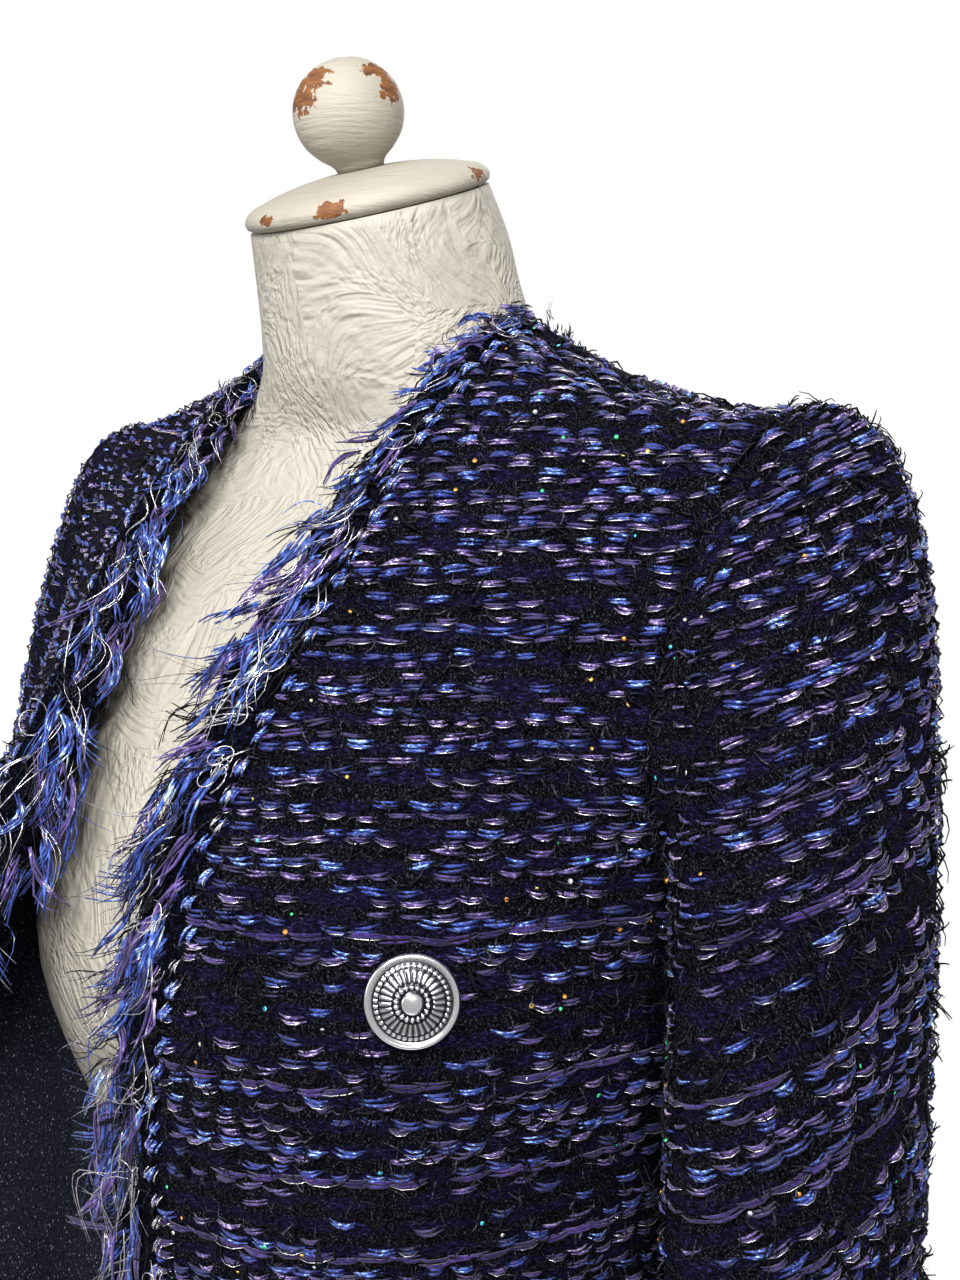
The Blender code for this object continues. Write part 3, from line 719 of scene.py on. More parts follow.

# Tones of each yarn: dark, middle, light, and a painted glint near white.
blue = yarn_material("blue_yarn", 0.45, 0.10, 0.5, LYING, (
    (0.002, 0.003, 0.030), (0.008, 0.016, 0.175), (0.028, 0.085, 0.480), (0.50, 0.75, 1.0)))
purple = yarn_material("purple_yarn", 0.5, 0.15, 0.4, LYING, (
    (0.010, 0.006, 0.036), (0.039, 0.021, 0.125), (0.112, 0.062, 0.280), (0.74, 0.62, 0.90)))
roving = yarn_material("purple_roving", 0.8, 0.2, 0.1, LYING, (
    (0.006, 0.003, 0.024), (0.020, 0.009, 0.085), (0.050, 0.023, 0.170), (0.110, 0.062, 0.300)))
black = yarn_material("black_yarn", 0.55, 0.0, 0.12, LYING, (
    (0.0010, 0.0010, 0.0015), (0.0045, 0.0045, 0.0070), (0.018, 0.018, 0.027), (0.09, 0.09, 0.13)))
loose_blue = yarn_material("loose_blue_yarn", 0.4, 0.10, 0.5, HANGING, (
    (0.003, 0.006, 0.045), (0.016, 0.036, 0.230), (0.065, 0.155, 0.580), (0.70, 0.88, 1.0)))
loose_purple = yarn_material("loose_purple_yarn", 0.45, 0.15, 0.4, HANGING, (
    (0.014, 0.009, 0.048), (0.058, 0.034, 0.165), (0.165, 0.100, 0.370), (0.85, 0.75, 0.95)))
silver = speckled_material("silver_thread", (700, 1), SILVER_STOPS, (0.3, 0.0002), 0.28, metallic=0.85)
ground = ground_material()
# Dark inner face of the cloth with fine sparkles of metal thread.
inside = speckled_material("cloth_inside", (900, 2, None, 0.5), INSIDE_STOPS, (0.5, 0.0008), 0.7,
                           specular=DULL)
# Matted black yarn with a few blue fibres.
matted = speckled_material("matted_yarn", (700, 4, None, 0.75), MATTED_STOPS, (1.0, 0.0025), 0.8,
                           specular=DULL)
sparkle = sequin_material()
metal = button_material()
YARNS = [blue, purple, silver, black, roving]
LOOSE_YARNS = [loose_blue, loose_purple, silver, black]
YARN_SLOT = {"blue": 0, "purple": 1, "silver": 2, "black": 3, "roving": 4}


# Woven cloth.

def fabric_height(points, lean):
    """Height up the cloth: level lines, with the slope over the shoulder measured along the cloth."""
    level = points[..., 2] - points @ np.array(lean)
    run = np.linalg.norm(np.diff(points, axis=0), axis=-1)
    sloping = smooth((points[1:, :, 2] - SHOULDER_FROM) / 0.03)
    extra = np.clip(run - np.abs(np.diff(level, axis=0)), 0, None) * sloping
    gained = np.concatenate([np.zeros_like(level[:1]), np.cumsum(extra, axis=0)])
    return np.maximum.accumulate(level + gained + np.arange(len(level))[:, None] * 1e-7, axis=0)


def trace_rows(height, levels):
    """Grid rows where each level crosses each column, with no value where it doesn't."""
    rows = np.arange(height.shape[0], dtype=float)
    none = {"left": np.nan, "right": np.nan}
    return np.stack([np.interp(levels, column, rows, **none) for column in height.T], axis=1)


def band_share(z):
    """Share of floats kept at a height: darker bands across the fronts and sleeves."""
    share = 1.0
    for middle, half, low in DARK_BANDS:
        share = share - (1 - low) * math.exp(-((z - middle) / half) ** 4)
    return share


def stray(kind, *shape):
    return about(STRAY[kind] * MM, *shape)


def weave(cloth, lean, stations, plies, thinned, margin):
    """Floats of blue, purple and silver over one piece of cloth, row by row."""
    height = fabric_height(cloth.p, lean)
    low, high = height.min() + 0.002, height.max() - 0.001
    repeats = range(int((high - WEAVE_START) / REPEAT) + 1)
    rows = [(WEAVE_START + k * REPEAT + entry[0] * MM, entry) for k in repeats for entry in WEAVE]
    rows = [r for r in rows if low < r[0] < high]
    found = trace_rows(height, np.array([r[0] for r in rows]))
    strands = Strands()
    middle = (cloth.columns - 1) / 2
    u = np.linspace(-1, 1, stations)
    hump = np.sqrt(np.clip(1 - u**2, 0, 1))
    fat = 0.30 + 0.70 * hump
    for (level, (_, yarn, length, width, kept, shiny)), crossing in zip(rows, found):
        columns = np.flatnonzero(np.isfinite(crossing)).astype(float)
        if len(columns) < 3:
            continue
        at = crossing[np.isfinite(crossing)]
        p, _ = cloth.at(at, columns)
        arc = arc_length(p)
        arc = arc - np.interp(middle, columns, arc)
        places = np.arange(math.ceil(arc[0] / FLOAT_PITCH) - 1, arc[-1] / FLOAT_PITCH + 1) * FLOAT_PITCH
        phase = 0.25 * FLOAT_PITCH * math.sin(level / REPEAT * 9.0)
        places = places + phase + stray("place", len(places))
        band = p[:, 2].mean() - (SLEEVE_BAND_RISE if cloth.is_sleeve else 0)
        share = kept * thinned * band_share(band) * rng.uniform(*ROW_SHARE)
        if np.abs(band - ROVING).min() < ROVING_REACH:
            yarn, length, width, share, shiny = ROVING_ROW
        patch = 0.86 + 0.14 * np.sin(places * 61.0 + level * 210.0)
        places = places[rng.random(len(places)) < share * patch]
        span = length * MM * between(*SPAN_SHARE, len(places))
        first = np.maximum(places - span / 2, arc[0] + margin)
        last = np.minimum(places + span / 2, arc[-1] - 0.4 * MM)
        gaps = np.interp(last, arc, columns) - np.interp(first, arc, columns)
        fits = (last - first > SHORTEST * span) & (gaps < WIDEST_GAP)
        first, last = first[fits], last[fits]
        count = len(first)
        if not count:
            continue
        where = (first + last)[:, None] / 2 + u * (last - first)[:, None] / 2
        c = np.interp(where, arc, columns)
        q, n = cloth.at(np.interp(c, columns, at), c)
        along = unit(np.gradient(q, axis=1))
        lift = unit(np.cross(along, n))
        lift = lift * np.sign(lift[..., 2:3] + 1e-9)
        drift = stray("level", count, 1)
        smile = between(*SMILE, count, 1) * MM * (u**2 - 0.4)
        slant = stray("slant", count, 1) * u
        sway = 0.6 * MM * np.sin(where * 105.0 + rng.uniform(0, 2 * math.pi))
        crown = CROWN * hump - SUNK
        spine = q + n * crown[None, :, None] + lift * (drift + smile + slant + sway)[..., None]
        shade = rng.random(count)
        ply_width = width * MM * (TWO_PLY if plies > 1 else ONE_PLY)
        outside = (n[:, 1, 0] * q[:, 0, 0] > -0.02) & (q[:, 0, 2] > FINE_FROM)
        for ply in range(plies):
            apart = (ply - (plies - 1) / 2) * width * MM * PLY_APART + stray("ply", count, 1)
            cross = stray("cross", count, 1) * u
            shift = about(0.06, count, 1, 1) * (last - first)[:, None, None]
            raised = stray("rise", count, 1, 1)
            centre = spine + lift * (apart + cross)[..., None] + along * shift + n * raised
            wide = ply_width * between(0.7, 1.2, count, 1) * fat
            tone = np.clip(shade * 0.7 + 0.3 * rng.random(count), 0, 1)
            seen = np.full(count, ply == 0) | outside
            strands.add(centre[seen], lift[seen], n[seen], wide[seen], wide[seen] * FLAT, YARN_SLOT[yarn],
                        tone[seen])
        bright = rng.random(count) < shiny * (1.0 if plies > 1 else 0.5)
        thread = spine + n * 0.45 * MM * fat[None, :, None] - lift * (0.42 * width * MM)
        thread = thread + lift * (0.6 * MM * (u**2 - 0.3))[None, :, None]
        thin = np.full((int(bright.sum()), stations), THREAD) * (0.4 + 0.6 * fat)
        strands.add(thread[bright], lift[bright], n[bright], thin, thin, YARN_SLOT["silver"], shade[bright])
    return strands.build("weave_" + cloth.name, YARNS)


def scatter(cloth, number):
    """Grid places spread evenly over a cloth's area."""
    area = np.linalg.norm(np.cross(np.gradient(cloth.p, axis=0), np.gradient(cloth.p, axis=1)), axis=-1)
    pick = rng.choice(area.size, number, p=(area / area.sum()).ravel())
    r = np.clip(pick // cloth.columns + between(-0.5, 0.5, number), 0, cloth.rows - PAST_END)
    c = np.clip(pick % cloth.columns + between(-0.5, 0.5, number), 0, cloth.columns - PAST_END)
    return r, c


def boucle(cloth, number):
    """Short black curls of boucle yarn, mostly running across the rows, some of them along the edges."""
    r, c = scatter(cloth, number)
    seam = rng.random(number) < SEAM_CURLS
    if cloth.is_sleeve:
        r = np.where(seam, cloth.rows - 1.2 - between(0, 2.0, number), r)
    else:
        c = np.where(seam, np.where(rng.random(number) < 0.5, 0.3, cloth.columns - 1.5), c)
    p, n = cloth.at(r, c)
    level = unit(np.cross(n, UP) + 1e-6)
    rising = np.cross(level, n)
    lean = about(CURL["lean"], number, 1)
    aim = level * np.sin(lean) + rising * np.cos(lean)
    side = np.cross(aim, n)
    u = np.linspace(-1, 1, 3)
    long = between(*CURL["reach"], number, 1, 1) * MM
    bend = about(CURL["bend"], number, 1, 1)
    rise = between(*CURL["rise"], number, 1, 1) * MM
    v = u[None, :, None]
    centre = (p[:, None] + aim[:, None] * long * v + side[:, None] * long * bend * (v**2 - 0.3)
              + n[:, None] * (rise * (1 - v**2) - SUNK))
    thick = between(*CURL["thick"], number, 1) * MM * (1 - 0.5 * u**2)
    strands = Strands().add_on(centre, n, thick, thick, 0, rng.random(number))
    return strands.build("boucle_" + cloth.name, [black])


def shell(cloth, lean):
    """Cloth wall with a lumpy black outer face and a smooth inner one."""
    level = fabric_height(cloth.p, lean)
    p, n, level = (a[::SHELL_STEP, ::SHELL_STEP] for a in (cloth.p, cloth.n, level))
    closed = cloth.is_sleeve
    if closed:
        p, n, level = (a[:, :-1] for a in (p, n, level))
    lumps = about(WALL["lumps"] * MM, *p.shape[:2])
    lumps[0] = lumps[-1] = 0
    if not closed:
        lumps[:, 0] = lumps[:, -1] = 0
    outer = p + n * (lumps[..., None] - WALL["outer"] * MM)
    inner = p - n * WALL["inner"] * MM
    r, c = p.shape[:2]
    verts = np.concatenate([outer.reshape(-1, 3), inner.reshape(-1, 3)])
    face = quad_grid(r, c, closed)
    half = r * c
    across, along = p[r // 2, 1] - p[r // 2, 0], p[r // 2 + 1, 0] - p[r // 2, 0]
    if np.dot(np.cross(across, along), n[r // 2, 0]) < 0:
        face = face[:, ::-1]
    index = np.arange(half).reshape(r, c)
    edges = [index[0], index[-1]]
    if closed:
        edges = [np.append(line, line[0]) for line in edges]
    else:
        edges += [index[:, 0], index[:, -1]]
    rim = np.concatenate([np.stack([e[:-1], e[1:], e[1:] + half, e[:-1] + half], -1) for e in edges])
    quads = np.concatenate([face, face[:, ::-1] + half, rim])
    slots = np.concatenate([np.zeros(len(face)), np.ones(len(face)), np.zeros(len(rim))])
    made = add_mesh("cloth_" + cloth.name, verts, quads.ravel(), np.full(len(quads), 4), [ground, inside],
                    slots, np.tile(level.ravel(), 2))
    return tidy_normals(made)


def fuzz(cloth, tufts):
    """Black eyelash hairs standing out of one piece of cloth in tufts, and along its edges."""
    r, c = scatter(cloth, tufts)
    count = tufts * HAIRS
    edge = rng.random(tufts) < EDGE_TUFTS
    c = np.where(edge, np.where(rng.random(tufts) < 0.5, 0.4, cloth.columns - 1.4), c)
    r = np.repeat(r, HAIRS) + about(0.5, count)
    c = np.repeat(c, HAIRS) + about(0.3, count)
    p, n = cloth.at(np.clip(r, 0, cloth.rows - PAST_END), np.clip(c, 0, cloth.columns - PAST_END))
    aim = np.repeat(unit(about(1, tufts, 3)), HAIRS, axis=0) + about(0.28, count, 3)
    aim = unit(aim - n * np.sum(aim * n, -1, keepdims=True))
    long = HAIR_LENGTH * between(*HAIR["share"], count)[:, None]
    rise = between(*HAIR["rise"], count)[:, None]
    u = np.array([0.0, 0.35, 0.7, 1.0])
    curl = np.repeat(about(0.35, tufts, 3), HAIRS, axis=0) + about(0.15, count, 3)
    centre = (p[:, None] + (aim * long)[:, None] * (u[:, None] * 0.8)
              + (n * long * rise)[:, None] * (1.6 * u - 1.1 * u**2)[:, None]
              + (curl * long)[:, None] * (u**2)[:, None] * 0.5)
    along = unit(np.gradient(centre, axis=1))
    side = unit(np.cross(along, n[:, None] + 0.01))
    up = unit(np.cross(side, along))
    thin = between(*HAIR["thick"], count, 1) * MM * (1 - 0.6 * u)
    strands = Strands().add(centre, side, up, thin, thin, 0, rng.random(count) * 0.6)
    return strands.build("fuzz_" + cloth.name, [black])


def sequins(cloth, number):
    """Small foil discs lying on the cloth."""
    r = between(1, cloth.rows - 2, number)
    p, n = cloth.at(r, between(1, cloth.columns - 2, number))
    tilt = unit(n + about(DISC["tilt"], *n.shape))
    side = unit(np.cross(tilt, np.array([0.3, 0.5, 0.8])))
    low = p + n * DISC["height"] * MM
    centre = np.stack([low, low + tilt * DISC["thick"] * MM], 1)
    size = np.repeat(between(*DISC["size"], number, 1) * MM, 2, axis=1)
    axes = (np.repeat(a[:, None], 2, 1) for a in (side, np.cross(tilt, side)))
    strands = Strands().add(centre, *axes, size, size, 0, rng.choice(FOIL_SHADES, number), sides=6)
    return strands.build("sparkle_" + cloth.name, [sparkle])


# Fringe.

# Locks: yarn, number a metre, filaments, points, length, width, spread, start range, turn from the droop,
# curl.
FRINGE = (
    ("black", 380, 3, 5, 14, 0.85, 2.6, (-3, 17), 12, 0.50),
    ("blue", 300, 5, 6, 23, 1.15, 1.7, (1, 23), 2, 0.24),
    ("purple", 160, 5, 6, 22, 1.15, 1.7, (1, 22), 4, 0.26),
    ("black", 120, 3, 6, 24, 0.60, 2.2, (6, 23), 6, 0.40),
    ("silver", 190, 2, 8, 25, 0.50, 2.0, (-2, 20), 4, 0.40),
    ("black", 60, 2, 7, 30, 0.28, 3.0, (10, 22), 24, 0.60),
    ("blue", 40, 1, 7, 28, 0.50, 2.0, (10, 22), 24, 0.60),
)
# Loops of thread: yarn, number a metre, range of their middles out from the edge, thickness.
LOOPS = (
    ("silver", 26, (-3, 14), 0.52),
    ("black", 34, (8, 26), 0.34),
)
LOOP_POINTS = 17
LOOP_TURNS = 1.12
# In millimetres: range of a loop's radius, its height on the cloth, how far it waves.
LOOP = {"radius": (2.6, 6.0), "height": 3.5, "wave": 1.5}
# Sewing bundles: yarn, threads in a bundle, width, share kept.
BUNDLES = (
    ("blue", 6, 1.1, 0.85),
    ("silver", 5, 0.6, 0.75),
    ("purple", 2, 1.0, 0.4),
)
BUNDLE_PITCH = 9.4 * MM
# In millimetres: how far in from the edge they lie and its spread, range of half length.
BUNDLE_INSET = (3.0, 1.0)
BUNDLE_REACH = (2.0, 3.3)
STRIP_WIDTH = 17.0 * MM
STRIP_COLUMNS = 5
# Fringe of a front, from the top: its size there, share of the way to full size, and its droop in degrees.
TOP_SIZE = 0.38
FULL_FROM = 0.32
DROOP = ((0, 0.2, 0.4, 1.0), (14, 18, 19, 15))
# On the open right front it turns in towards the form, and is thinner and smaller low down.
TURN_IN = (0.36, 0.93)
RIGHT_DENSITY = 0.8
RIGHT_DROOP = 0.6
LOW_LOSS = 0.3
# Fringe of the neck: size, droop, density, yarns.
NECK_FRINGE = (0.24, 70.0, 0.45, ("black", "silver"))
SAG = np.array([0, 0, -0.10])


def strip(name, root, out, normal, scale):
    """Matted black band that carries the loose yarn, standing out from an edge."""
    root, out, normal = (a[::2, None] for a in (root, out, normal))
    reach = np.linspace(-0.1, 1, STRIP_COLUMNS)[None, :, None] * (STRIP_WIDTH * scale[::2])[:, None, None]
    lumps = about(0.5 * MM, len(root), STRIP_COLUMNS)[..., None]
    rough = 1 + about(0.10, len(root), 1, 1)
    face = root + out * reach * rough
    top = face + normal * (1.0 * MM + lumps)
    low = face - normal * (0.6 * MM + np.abs(lumps) * 0.4)
    return tidy_normals(ringed(name, np.concatenate([top, low[:, ::-1]], axis=1), matted))


def read_along(arc, at, lines):
    """Each line of points or directions, read at distances along an edge."""
    return [np.stack([np.interp(at, arc, rows[:, k]) for k in range(3)], -1) for rows in lines]


def fringe(name, lines, scale, droop, density, yarns):
    """Loose yarn along an edge's lines, in curved locks of filaments of the yarns named, and in loops."""
    arc = arc_length(lines[0])
    strands = Strands()
    for yarn, number, filaments, points, length, width, spread, begin, turn, curl in FRINGE:
        if yarn not in yarns:
            continue
        u = np.linspace(0, 1, points)
        v = u[None, :, None]
        locks = int(number * density * arc[-1])
        at = np.sort(between(0, arc[-1], locks))
        lean = np.interp(at, arc, droop) + turn + about(14, locks)
        size = np.interp(at, arc, scale) * between(0.65, 1.15, locks)
        bow = np.clip(rng.normal(0.1, curl, locks), -0.25, 0.8)
        wave = about(0.10 + 0.12 * curl, locks)
        begin_out = between(*begin, locks) * np.interp(at, arc, scale)
        high = between(0.4, 3.2, locks) + (2.0 if yarn == "silver" else 0)
        lift = between(-0.02, 0.10, locks)
        count = locks * filaments
        at, lean, size, bow, wave, begin_out, high, lift = (
            np.repeat(a, filaments) for a in (at, lean, size, bow, wave, begin_out, high, lift))
        at = np.clip(at + about(spread * 0.5 * MM, count), 0, arc[-1])
        p, o, n, d = read_along(arc, at, lines)
        angle = np.radians(np.clip(lean + about(3.5, count), 3, 95))[:, None]
        aim = unit(unit(d) * np.cos(angle) + unit(o) * np.sin(angle))
        n = unit(n - aim * np.sum(n * aim, -1, keepdims=True))
        side = np.cross(aim, n)
        long = (length * MM * size * between(0.75, 1.1, count))[:, None, None]
        start = p + unit(o) * (begin_out * MM)[:, None] + n * (high * MM)[:, None]
        fan = about(spread * 0.55 * MM, count, 1, 1)
        deep = about(spread * 0.30 * MM, count, 1, 1)
        own = about(0.05 + 0.05 * curl, count, 1, 1)
        bow, wave, lift = (a[:, None, None] for a in (bow, wave, lift))
        bent = bow * v**2 + wave * np.sin(v * 3.6) + own * np.sin(v * 4.5 + fan * 900)
        centre = (start[:, None] + aim[:, None] * long * v
                  + side[:, None] * (long * bent + fan * (1.0 - 0.7 * v))
                  + n[:, None] * (long * lift * np.sin(v * 2.6) + deep) + SAG * long * v**2)
        taper = (1 - 0.6 * u**2) * np.clip(u * 8 + 0.4, 0, 1)
        wide = width * MM * between(0.6, 1.25, count, 1) * taper
        tone = np.repeat(rng.random(locks), filaments) * 0.6 + 0.4 * rng.random(count)
        strands.add_on(centre, n, wide, wide * 0.8, YARN_SLOT[yarn], tone)
    for yarn, number, begin, thread in LOOPS:
        loops = int(number * density * arc[-1])
        at = between(0.06, 0.98, loops) ** 1.3 * arc[-1]
        p, o, n, d = read_along(arc, at, lines)
        turn = np.linspace(0.2, 2 * math.pi * LOOP_TURNS, LOOP_POINTS)[None, :, None]
        radius = between(*LOOP["radius"], loops, 1, 1)
        radius = radius * (0.7 + between(0.05, 0.16, loops, 1, 1) * turn) * MM
        tip = between(0, 2 * math.pi, loops, 1, 1)
        flat = between(0.65, 1.0, loops, 1, 1)
        far = between(*begin, loops, 1) * np.interp(at, arc, scale)[:, None] * MM
        centre = ((p + o * far + n * LOOP["height"] * MM)[:, None]
                  + (d[:, None] * np.cos(turn + tip) + o[:, None] * np.sin(turn + tip) * flat) * radius
                  + n[:, None] * np.sin(turn) * LOOP["wave"] * MM)
        thin = np.full((loops, LOOP_POINTS), thread * MM)
        strands.add_on(centre, n, thin, thin, YARN_SLOT[yarn], rng.random(loops))
    return strands.build(name, LOOSE_YARNS)


def stitches(name, lines):
    """Bright bundles of yarn that sew the fringe down, in a line inside the edge."""
    arc = arc_length(lines[0])
    strands = Strands()
    places = np.arange(0.02, arc[-1] - 0.01, BUNDLE_PITCH)
    places = places + about(1.0 * MM, len(places))
    inset = rng.normal(*BUNDLE_INSET, len(places)) * MM
    u = np.linspace(-1, 1, 4)
    for yarn, count, width, kept in BUNDLES:
        chosen = rng.random(len(places)) < kept
        at = np.repeat(places[chosen], count)
        p, o, n, d = read_along(arc, at, lines)
        total = len(at)
        across = np.repeat(inset[chosen], count) + about(1.1 * MM, total)
        p = p - o * across[:, None] + d * about(0.7, total, 1) * MM
        aim = unit(d * 0.9 + o * between(0.0, 0.5, total, 1))
        long = between(*BUNDLE_REACH, total, 1) * MM
        centre = (p[:, None] + aim[:, None] * (long[:, None] * u[:, None])
                  + n[:, None] * (0.9 * MM + 1.6 * MM * np.sqrt(1 - u**2 * 0.99))[:, None])
        along = unit(np.gradient(centre, axis=1))
        side = unit(np.cross(along, n[:, None]))
        wide = width * MM * between(0.7, 1.1, total, 1) * (1 - 0.5 * u**2)
        strands.add(centre, side, np.repeat(n[:, None], 4, 1), wide, wide * 0.8, YARN_SLOT[yarn],
                    0.6 + 0.4 * rng.random(total))
    return strands.build(name, YARNS)


def edge_lines(cloth):
    """Root, outward, normal and downward directions along a front's edge, from the top."""
    root = cloth.p[::-1, 0]
    out = unit(root - cloth.p[::-1, 3])
    return root, out, cloth.n[::-1, 0], unit(np.gradient(root, axis=0))


# Dress form.

def form_grid(z, angle):
    ring = through(FORM[:, 0], FORM, z)
    c, s = np.cos(angle), np.sin(angle)
    power = 2 / FORM_SQUARENESS
    depth = np.where(c > 0, ring[:, 2:3], ring[:, 3:4])
    covered = 1 - 0.025 * smooth((z - 560) / 40) * smooth((712 - z) / 12)
    x = ring[:, 1:2] * covered[:, None] * np.sign(s) * np.abs(s) ** power
    y = -depth * np.sign(c) * np.abs(c) ** power
    tilt = np.radians(ring[:, 5:6])
    return np.stack([x, ring[:, 4:5] + y * np.cos(tilt), z[:, None] + y * np.sin(tilt)], -1) * MM + PLACE


def form_body():
    z = np.concatenate([np.linspace(0, 560, 41), np.linspace(560, 730, 45)[1:],
                        np.linspace(730, 779, 15)[1:]])
    return ringed("plaster_form", form_grid(z, around(FORM_SECTORS)), plaster_material())


def profile_line(profile, count):
    """Smooth line of points through a profile's radius and height."""
    table = np.array(profile)
    reach = arc_length(table)
    return through(reach, table, np.linspace(0, reach[-1], count))


def turned(name, profile, sectors, seat, chips, material):
    """Turned wood on the neck, with chip spots: turn in degrees, height and radius in millimetres."""
    line = profile_line(profile, 32)
    radius, height = np.array(profile).T
    angle = around(sectors)
    grid = np.stack([line[:, 0:1] * np.cos(angle), line[:, 0:1] * np.sin(angle),
                     np.repeat(line[:, 1:2], sectors, 1)], -1) * MM
    worn = np.zeros(grid.shape[:2])
    for turn, level, size in chips:
        r = np.interp(level, height, radius) * MM
        c, s = math.cos(math.radians(turn)), math.sin(math.radians(turn))
        away = grid - np.array([r * c, r * s, level * MM])
        round_way = np.array([-s, c, 0])
        away = away - 0.4 * (away @ round_way)[..., None] * round_way
        worn = np.maximum(worn, 1.0 - np.linalg.norm(away, axis=-1) / (2 * size * MM))
    top = FORM[-1]
    spin = np.array(Matrix.Translation((0, top[4] * MM, top[0] * MM))
                    @ Matrix.Rotation(math.radians(top[5]), 4, "X") @ Matrix.Translation((0, 0, seat * MM)))
    return ringed(name, grid @ spin[:3, :3].T + spin[:3, 3] + PLACE, material, worn.ravel())


# Button, out from the middle: radius and height of its plain dome.
BUTTON_DOME = ((0.0, 6.1), (3.2, 5.9), (6.0, 5.3), (9.4, 4.4), (12.2, 3.2), (12.9, 3.1), (13.3, 3.5),
               (14.0, 3.5), (14.7, 2.4), (14.4, 1.2), (13.6, 0.6), (11.0, 0.0))
# Rings of beads: radius, number, size. Rays: inner radius, outer radius, number, height.
BEADS = ((11.2, 40, 0.80), (5.0, 18, 0.75))
RAYS = (6.1, 10.2, 30, 0.45)
BOSS_RADIUS = 3.4
# Rings and sectors of the button in the picture, and of the others.
FINE_BUTTON = (48, 120)
PLAIN_BUTTON = (24, 60)
RIM_FROM = 12.2
# How far the face is sunk inside the rim, and how high the button sits on the cloth.
HOLLOW = 0.45
BUTTON_SEAT = 1.7


def button(name, cloth, s, t, rings, sectors):
    """Domed button with a plain rim, two rings of beads and a band of rays."""
    line = profile_line(BUTTON_DOME, rings)
    line[0, 0] = 0.02
    angle = around(sectors)
    radius = np.repeat(line[:, 0:1], sectors, 1)
    height = np.repeat(line[:, 1:2], sectors, 1)
    face = (np.arange(rings) < np.argmax(line[:, 0]))[:, None]
    relief = np.sqrt(np.clip(1 - (radius / BOSS_RADIUS) ** 2, 0, 1))
    for middle, number, size in BEADS:
        slot = (angle * number / (2 * math.pi)) % 1 - 0.5
        flat = np.hypot(slot * 2 * math.pi * middle / number, radius - middle) / size
        relief = np.maximum(relief, size * np.sqrt(np.clip(1 - flat**2, 0, 1)))
    low, high, number, rise = RAYS
    inside_band = smooth((radius - low) / 0.4) * smooth((high - radius) / 0.4)
    relief = np.maximum(relief, rise * (0.5 + 0.5 * np.cos(angle * number)) * inside_band)
    plain = smooth((radius - RIM_FROM) / 0.5)
    shade = np.where(face, np.clip(relief / 0.55, 0, 1) * (1 - plain) + plain, 1.0)
    height = height + np.where(face, relief - HOLLOW * (1 - plain), 0)
    row = np.interp(t, T, np.arange(len(T)))
    p, n = (a[0] for a in cloth.at(np.array([row]), np.array([s * (len(S) - 1)])))
    side = unit(np.cross(UP, n))
    up = np.cross(n, side)
    grid = (p + n * BUTTON_SEAT * MM + (radius * np.cos(angle))[..., None] * MM * side
            + (radius * np.sin(angle))[..., None] * MM * up + height[..., None] * MM * n)
    return ringed(name, grid, metal, shade.ravel(), flip=True)


# Pieces.

cloths = build_cloths()
pieces = []


def stand_in(piece, node):
    """Piece that replaces a solid."""
    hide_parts(node)
    pieces.append(piece)


for name, lean, stations, plies, thinned, margin, curls, tufts, sparkles, flat, area in CLOTHS:
    cloth = cloths[name]
    body = shell(cloth, lean)
    stand_in(body, name)
    dressing = [weave(cloth, lean, stations, plies, thinned, margin * MM), boucle(cloth, curls),
                fuzz(cloth, tufts), sequins(cloth, sparkles)]
    pieces += dressing

for side in ("left", "right"):
    lines = edge_lines(cloths["front_" + side])
    root, out, normal, course = lines
    share = np.linspace(0, 1, len(root))
    scale = TOP_SIZE + (1 - TOP_SIZE) * smooth(share / FULL_FROM)
    droop = np.interp(share, *DROOP)
    hang, face, density = out, normal, 1.0
    if side == "right":
        a, b = TURN_IN
        hang, face, density = unit(out * a - normal * b), unit(normal * a + out * b), RIGHT_DENSITY
        scale = scale * (1.0 - LOW_LOSS * smooth((share - 0.40) / 0.08))
        droop = RIGHT_DROOP * droop
    loose = fringe("fringe_yarn_" + side, (root, hang, face, course), scale, droop, density, YARN_SLOT)
    pieces.append(strip("fringe_strip_" + side, root, hang, face, scale))
    stand_in(loose, "fringe_" + side)
    pieces.append(stitches("fringe_stitches_" + side, lines))

back = cloths["back"]
middle = back.columns // 2
root = back.p[-1, middle - NECK_COLUMNS:middle + NECK_COLUMNS + 1]
course = unit(np.gradient(root, axis=0))
up = np.tile(UP, (len(root), 1))
face = unit(np.cross(up, course))
face = face * np.sign(np.sum(face * (root - PLACE) * np.array([1, 1, 0]), -1, keepdims=True))
size, droop, density, yarns = NECK_FRINGE
neck = fringe("fringe_yarn_neck", (root, up, face, course), np.full(len(root), size),
              np.full(len(root), droop), density, yarns)
stand_in(neck, "fringe_neck")

stand_in(form_body(), "form_body")
chipped = chipped_material()
cap = turned("neck_cap", CAP_PROFILE, CAP_SECTORS, 0.0, CAP_CHIPS, chipped)
stand_in(cap, "form_neck_cap")
finial = turned("neck_finial", FINIAL_PROFILE, FINIAL_SECTORS, FINIAL_SEAT, FINIAL_CHIPS, chipped)
stand_in(finial, "form_finial")

for side in ("left", "right"):
    for number, (s, t) in enumerate(BUTTONS, start=1):
        detail = FINE_BUTTON if side == "left" and number == 1 else PLAIN_BUTTON
        made = button(f"domed_button_{side}_{number}", cloths["front_" + side], s, t, *detail)
        stand_in(made, f"button_{side}_{number}")

for piece in pieces:
    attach(piece, "root")


# Stage, light and camera.

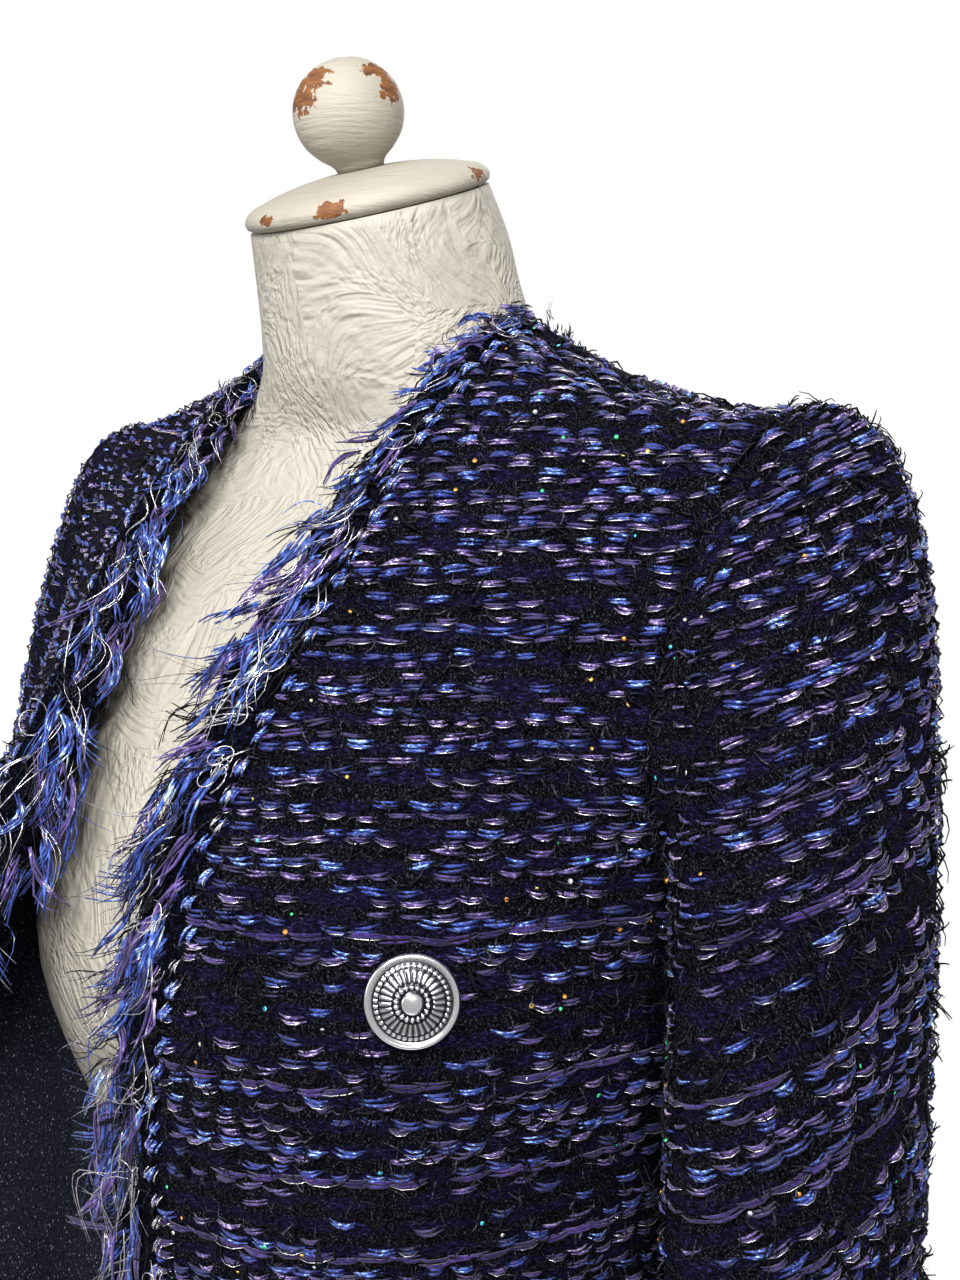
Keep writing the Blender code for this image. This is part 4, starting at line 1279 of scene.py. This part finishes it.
rim = [(FLOOR_RADIUS * math.cos(a), FLOOR_RADIUS * math.sin(a), -0.001) for a in around(FLOOR_CORNERS)]
floor_mesh = bpy.data.meshes.new("floor")
floor_mesh.from_pydata(rim, [], [list(range(FLOOR_CORNERS))])
floor = link("floor", floor_mesh)
# The floor fades out towards its rim.
pale = new_material("pale_floor")
pale.surface((0.86, 0.86, 0.86, 1), 0.9)
reach = pale.add("VectorMath", "Value", {0: pale.place()}, operation="LENGTH")
clear = pale.add("BsdfTransparent", "BSDF", {})
pale.close("Material Output", pale.add("MixShader", "Shader", {
    "Fac": pale.mask(reach, 0.30, 0.54), 1: pale.shader.outputs["BSDF"], 2: clear}))
floor_mesh.materials.append(pale.owner)

world = Nodes(bpy.data.worlds.new("studio"))
bpy.context.scene.world = world.owner
sky = world.tree.nodes["Background"]
world.feed(sky, {"Color": WHITE, "Strength": SKY_STRENGTH})
shown = world.add("Background", "Background", {"Color": WHITE, "Strength": 1.0})
ray = world.add("LightPath", "Is Camera Ray", {})
world.close("World Output", world.add("MixShader", "Shader", {
    "Fac": ray, 1: sky.outputs["Background"], 2: shown}))

for name, place, target, size, power in LIGHTS:
    data = bpy.data.lights.new(name, "AREA")
    data.size = size
    data.energy = power
    light = link(name, data)
    light.location = place
    light.rotation_euler = (Vector(target) - Vector(place)).to_track_quat("-Z", "Y").to_euler()

camera_data = bpy.data.cameras.new("camera")
camera = link("camera", camera_data)
yaw, pitch, roll = (math.radians(a) for a in CAMERA_TURN)
look = Vector((-math.sin(yaw) * math.cos(pitch), math.cos(yaw) * math.cos(pitch), -math.sin(pitch)))
right = Vector((math.cos(yaw), math.sin(yaw), 0))
above = right.cross(look)
right_turned = right * math.cos(roll) + above * math.sin(roll)
above_turned = above * math.cos(roll) - right * math.sin(roll)
basis = Matrix((right_turned, above_turned, -look)).transposed().to_4x4()
camera.matrix_world = Matrix.Translation(Vector(CAMERA_PLACE) + Vector(PLACE)) @ basis
camera_data.sensor_fit = "VERTICAL"
camera_data.sensor_height = SENSOR
camera_data.lens = SENSOR * CAMERA_FOCAL
camera_data.clip_start = 0.01
bpy.context.scene.camera = camera
bpy.context.scene.view_settings.view_transform = "Standard"

bpy.context.view_layer.update()
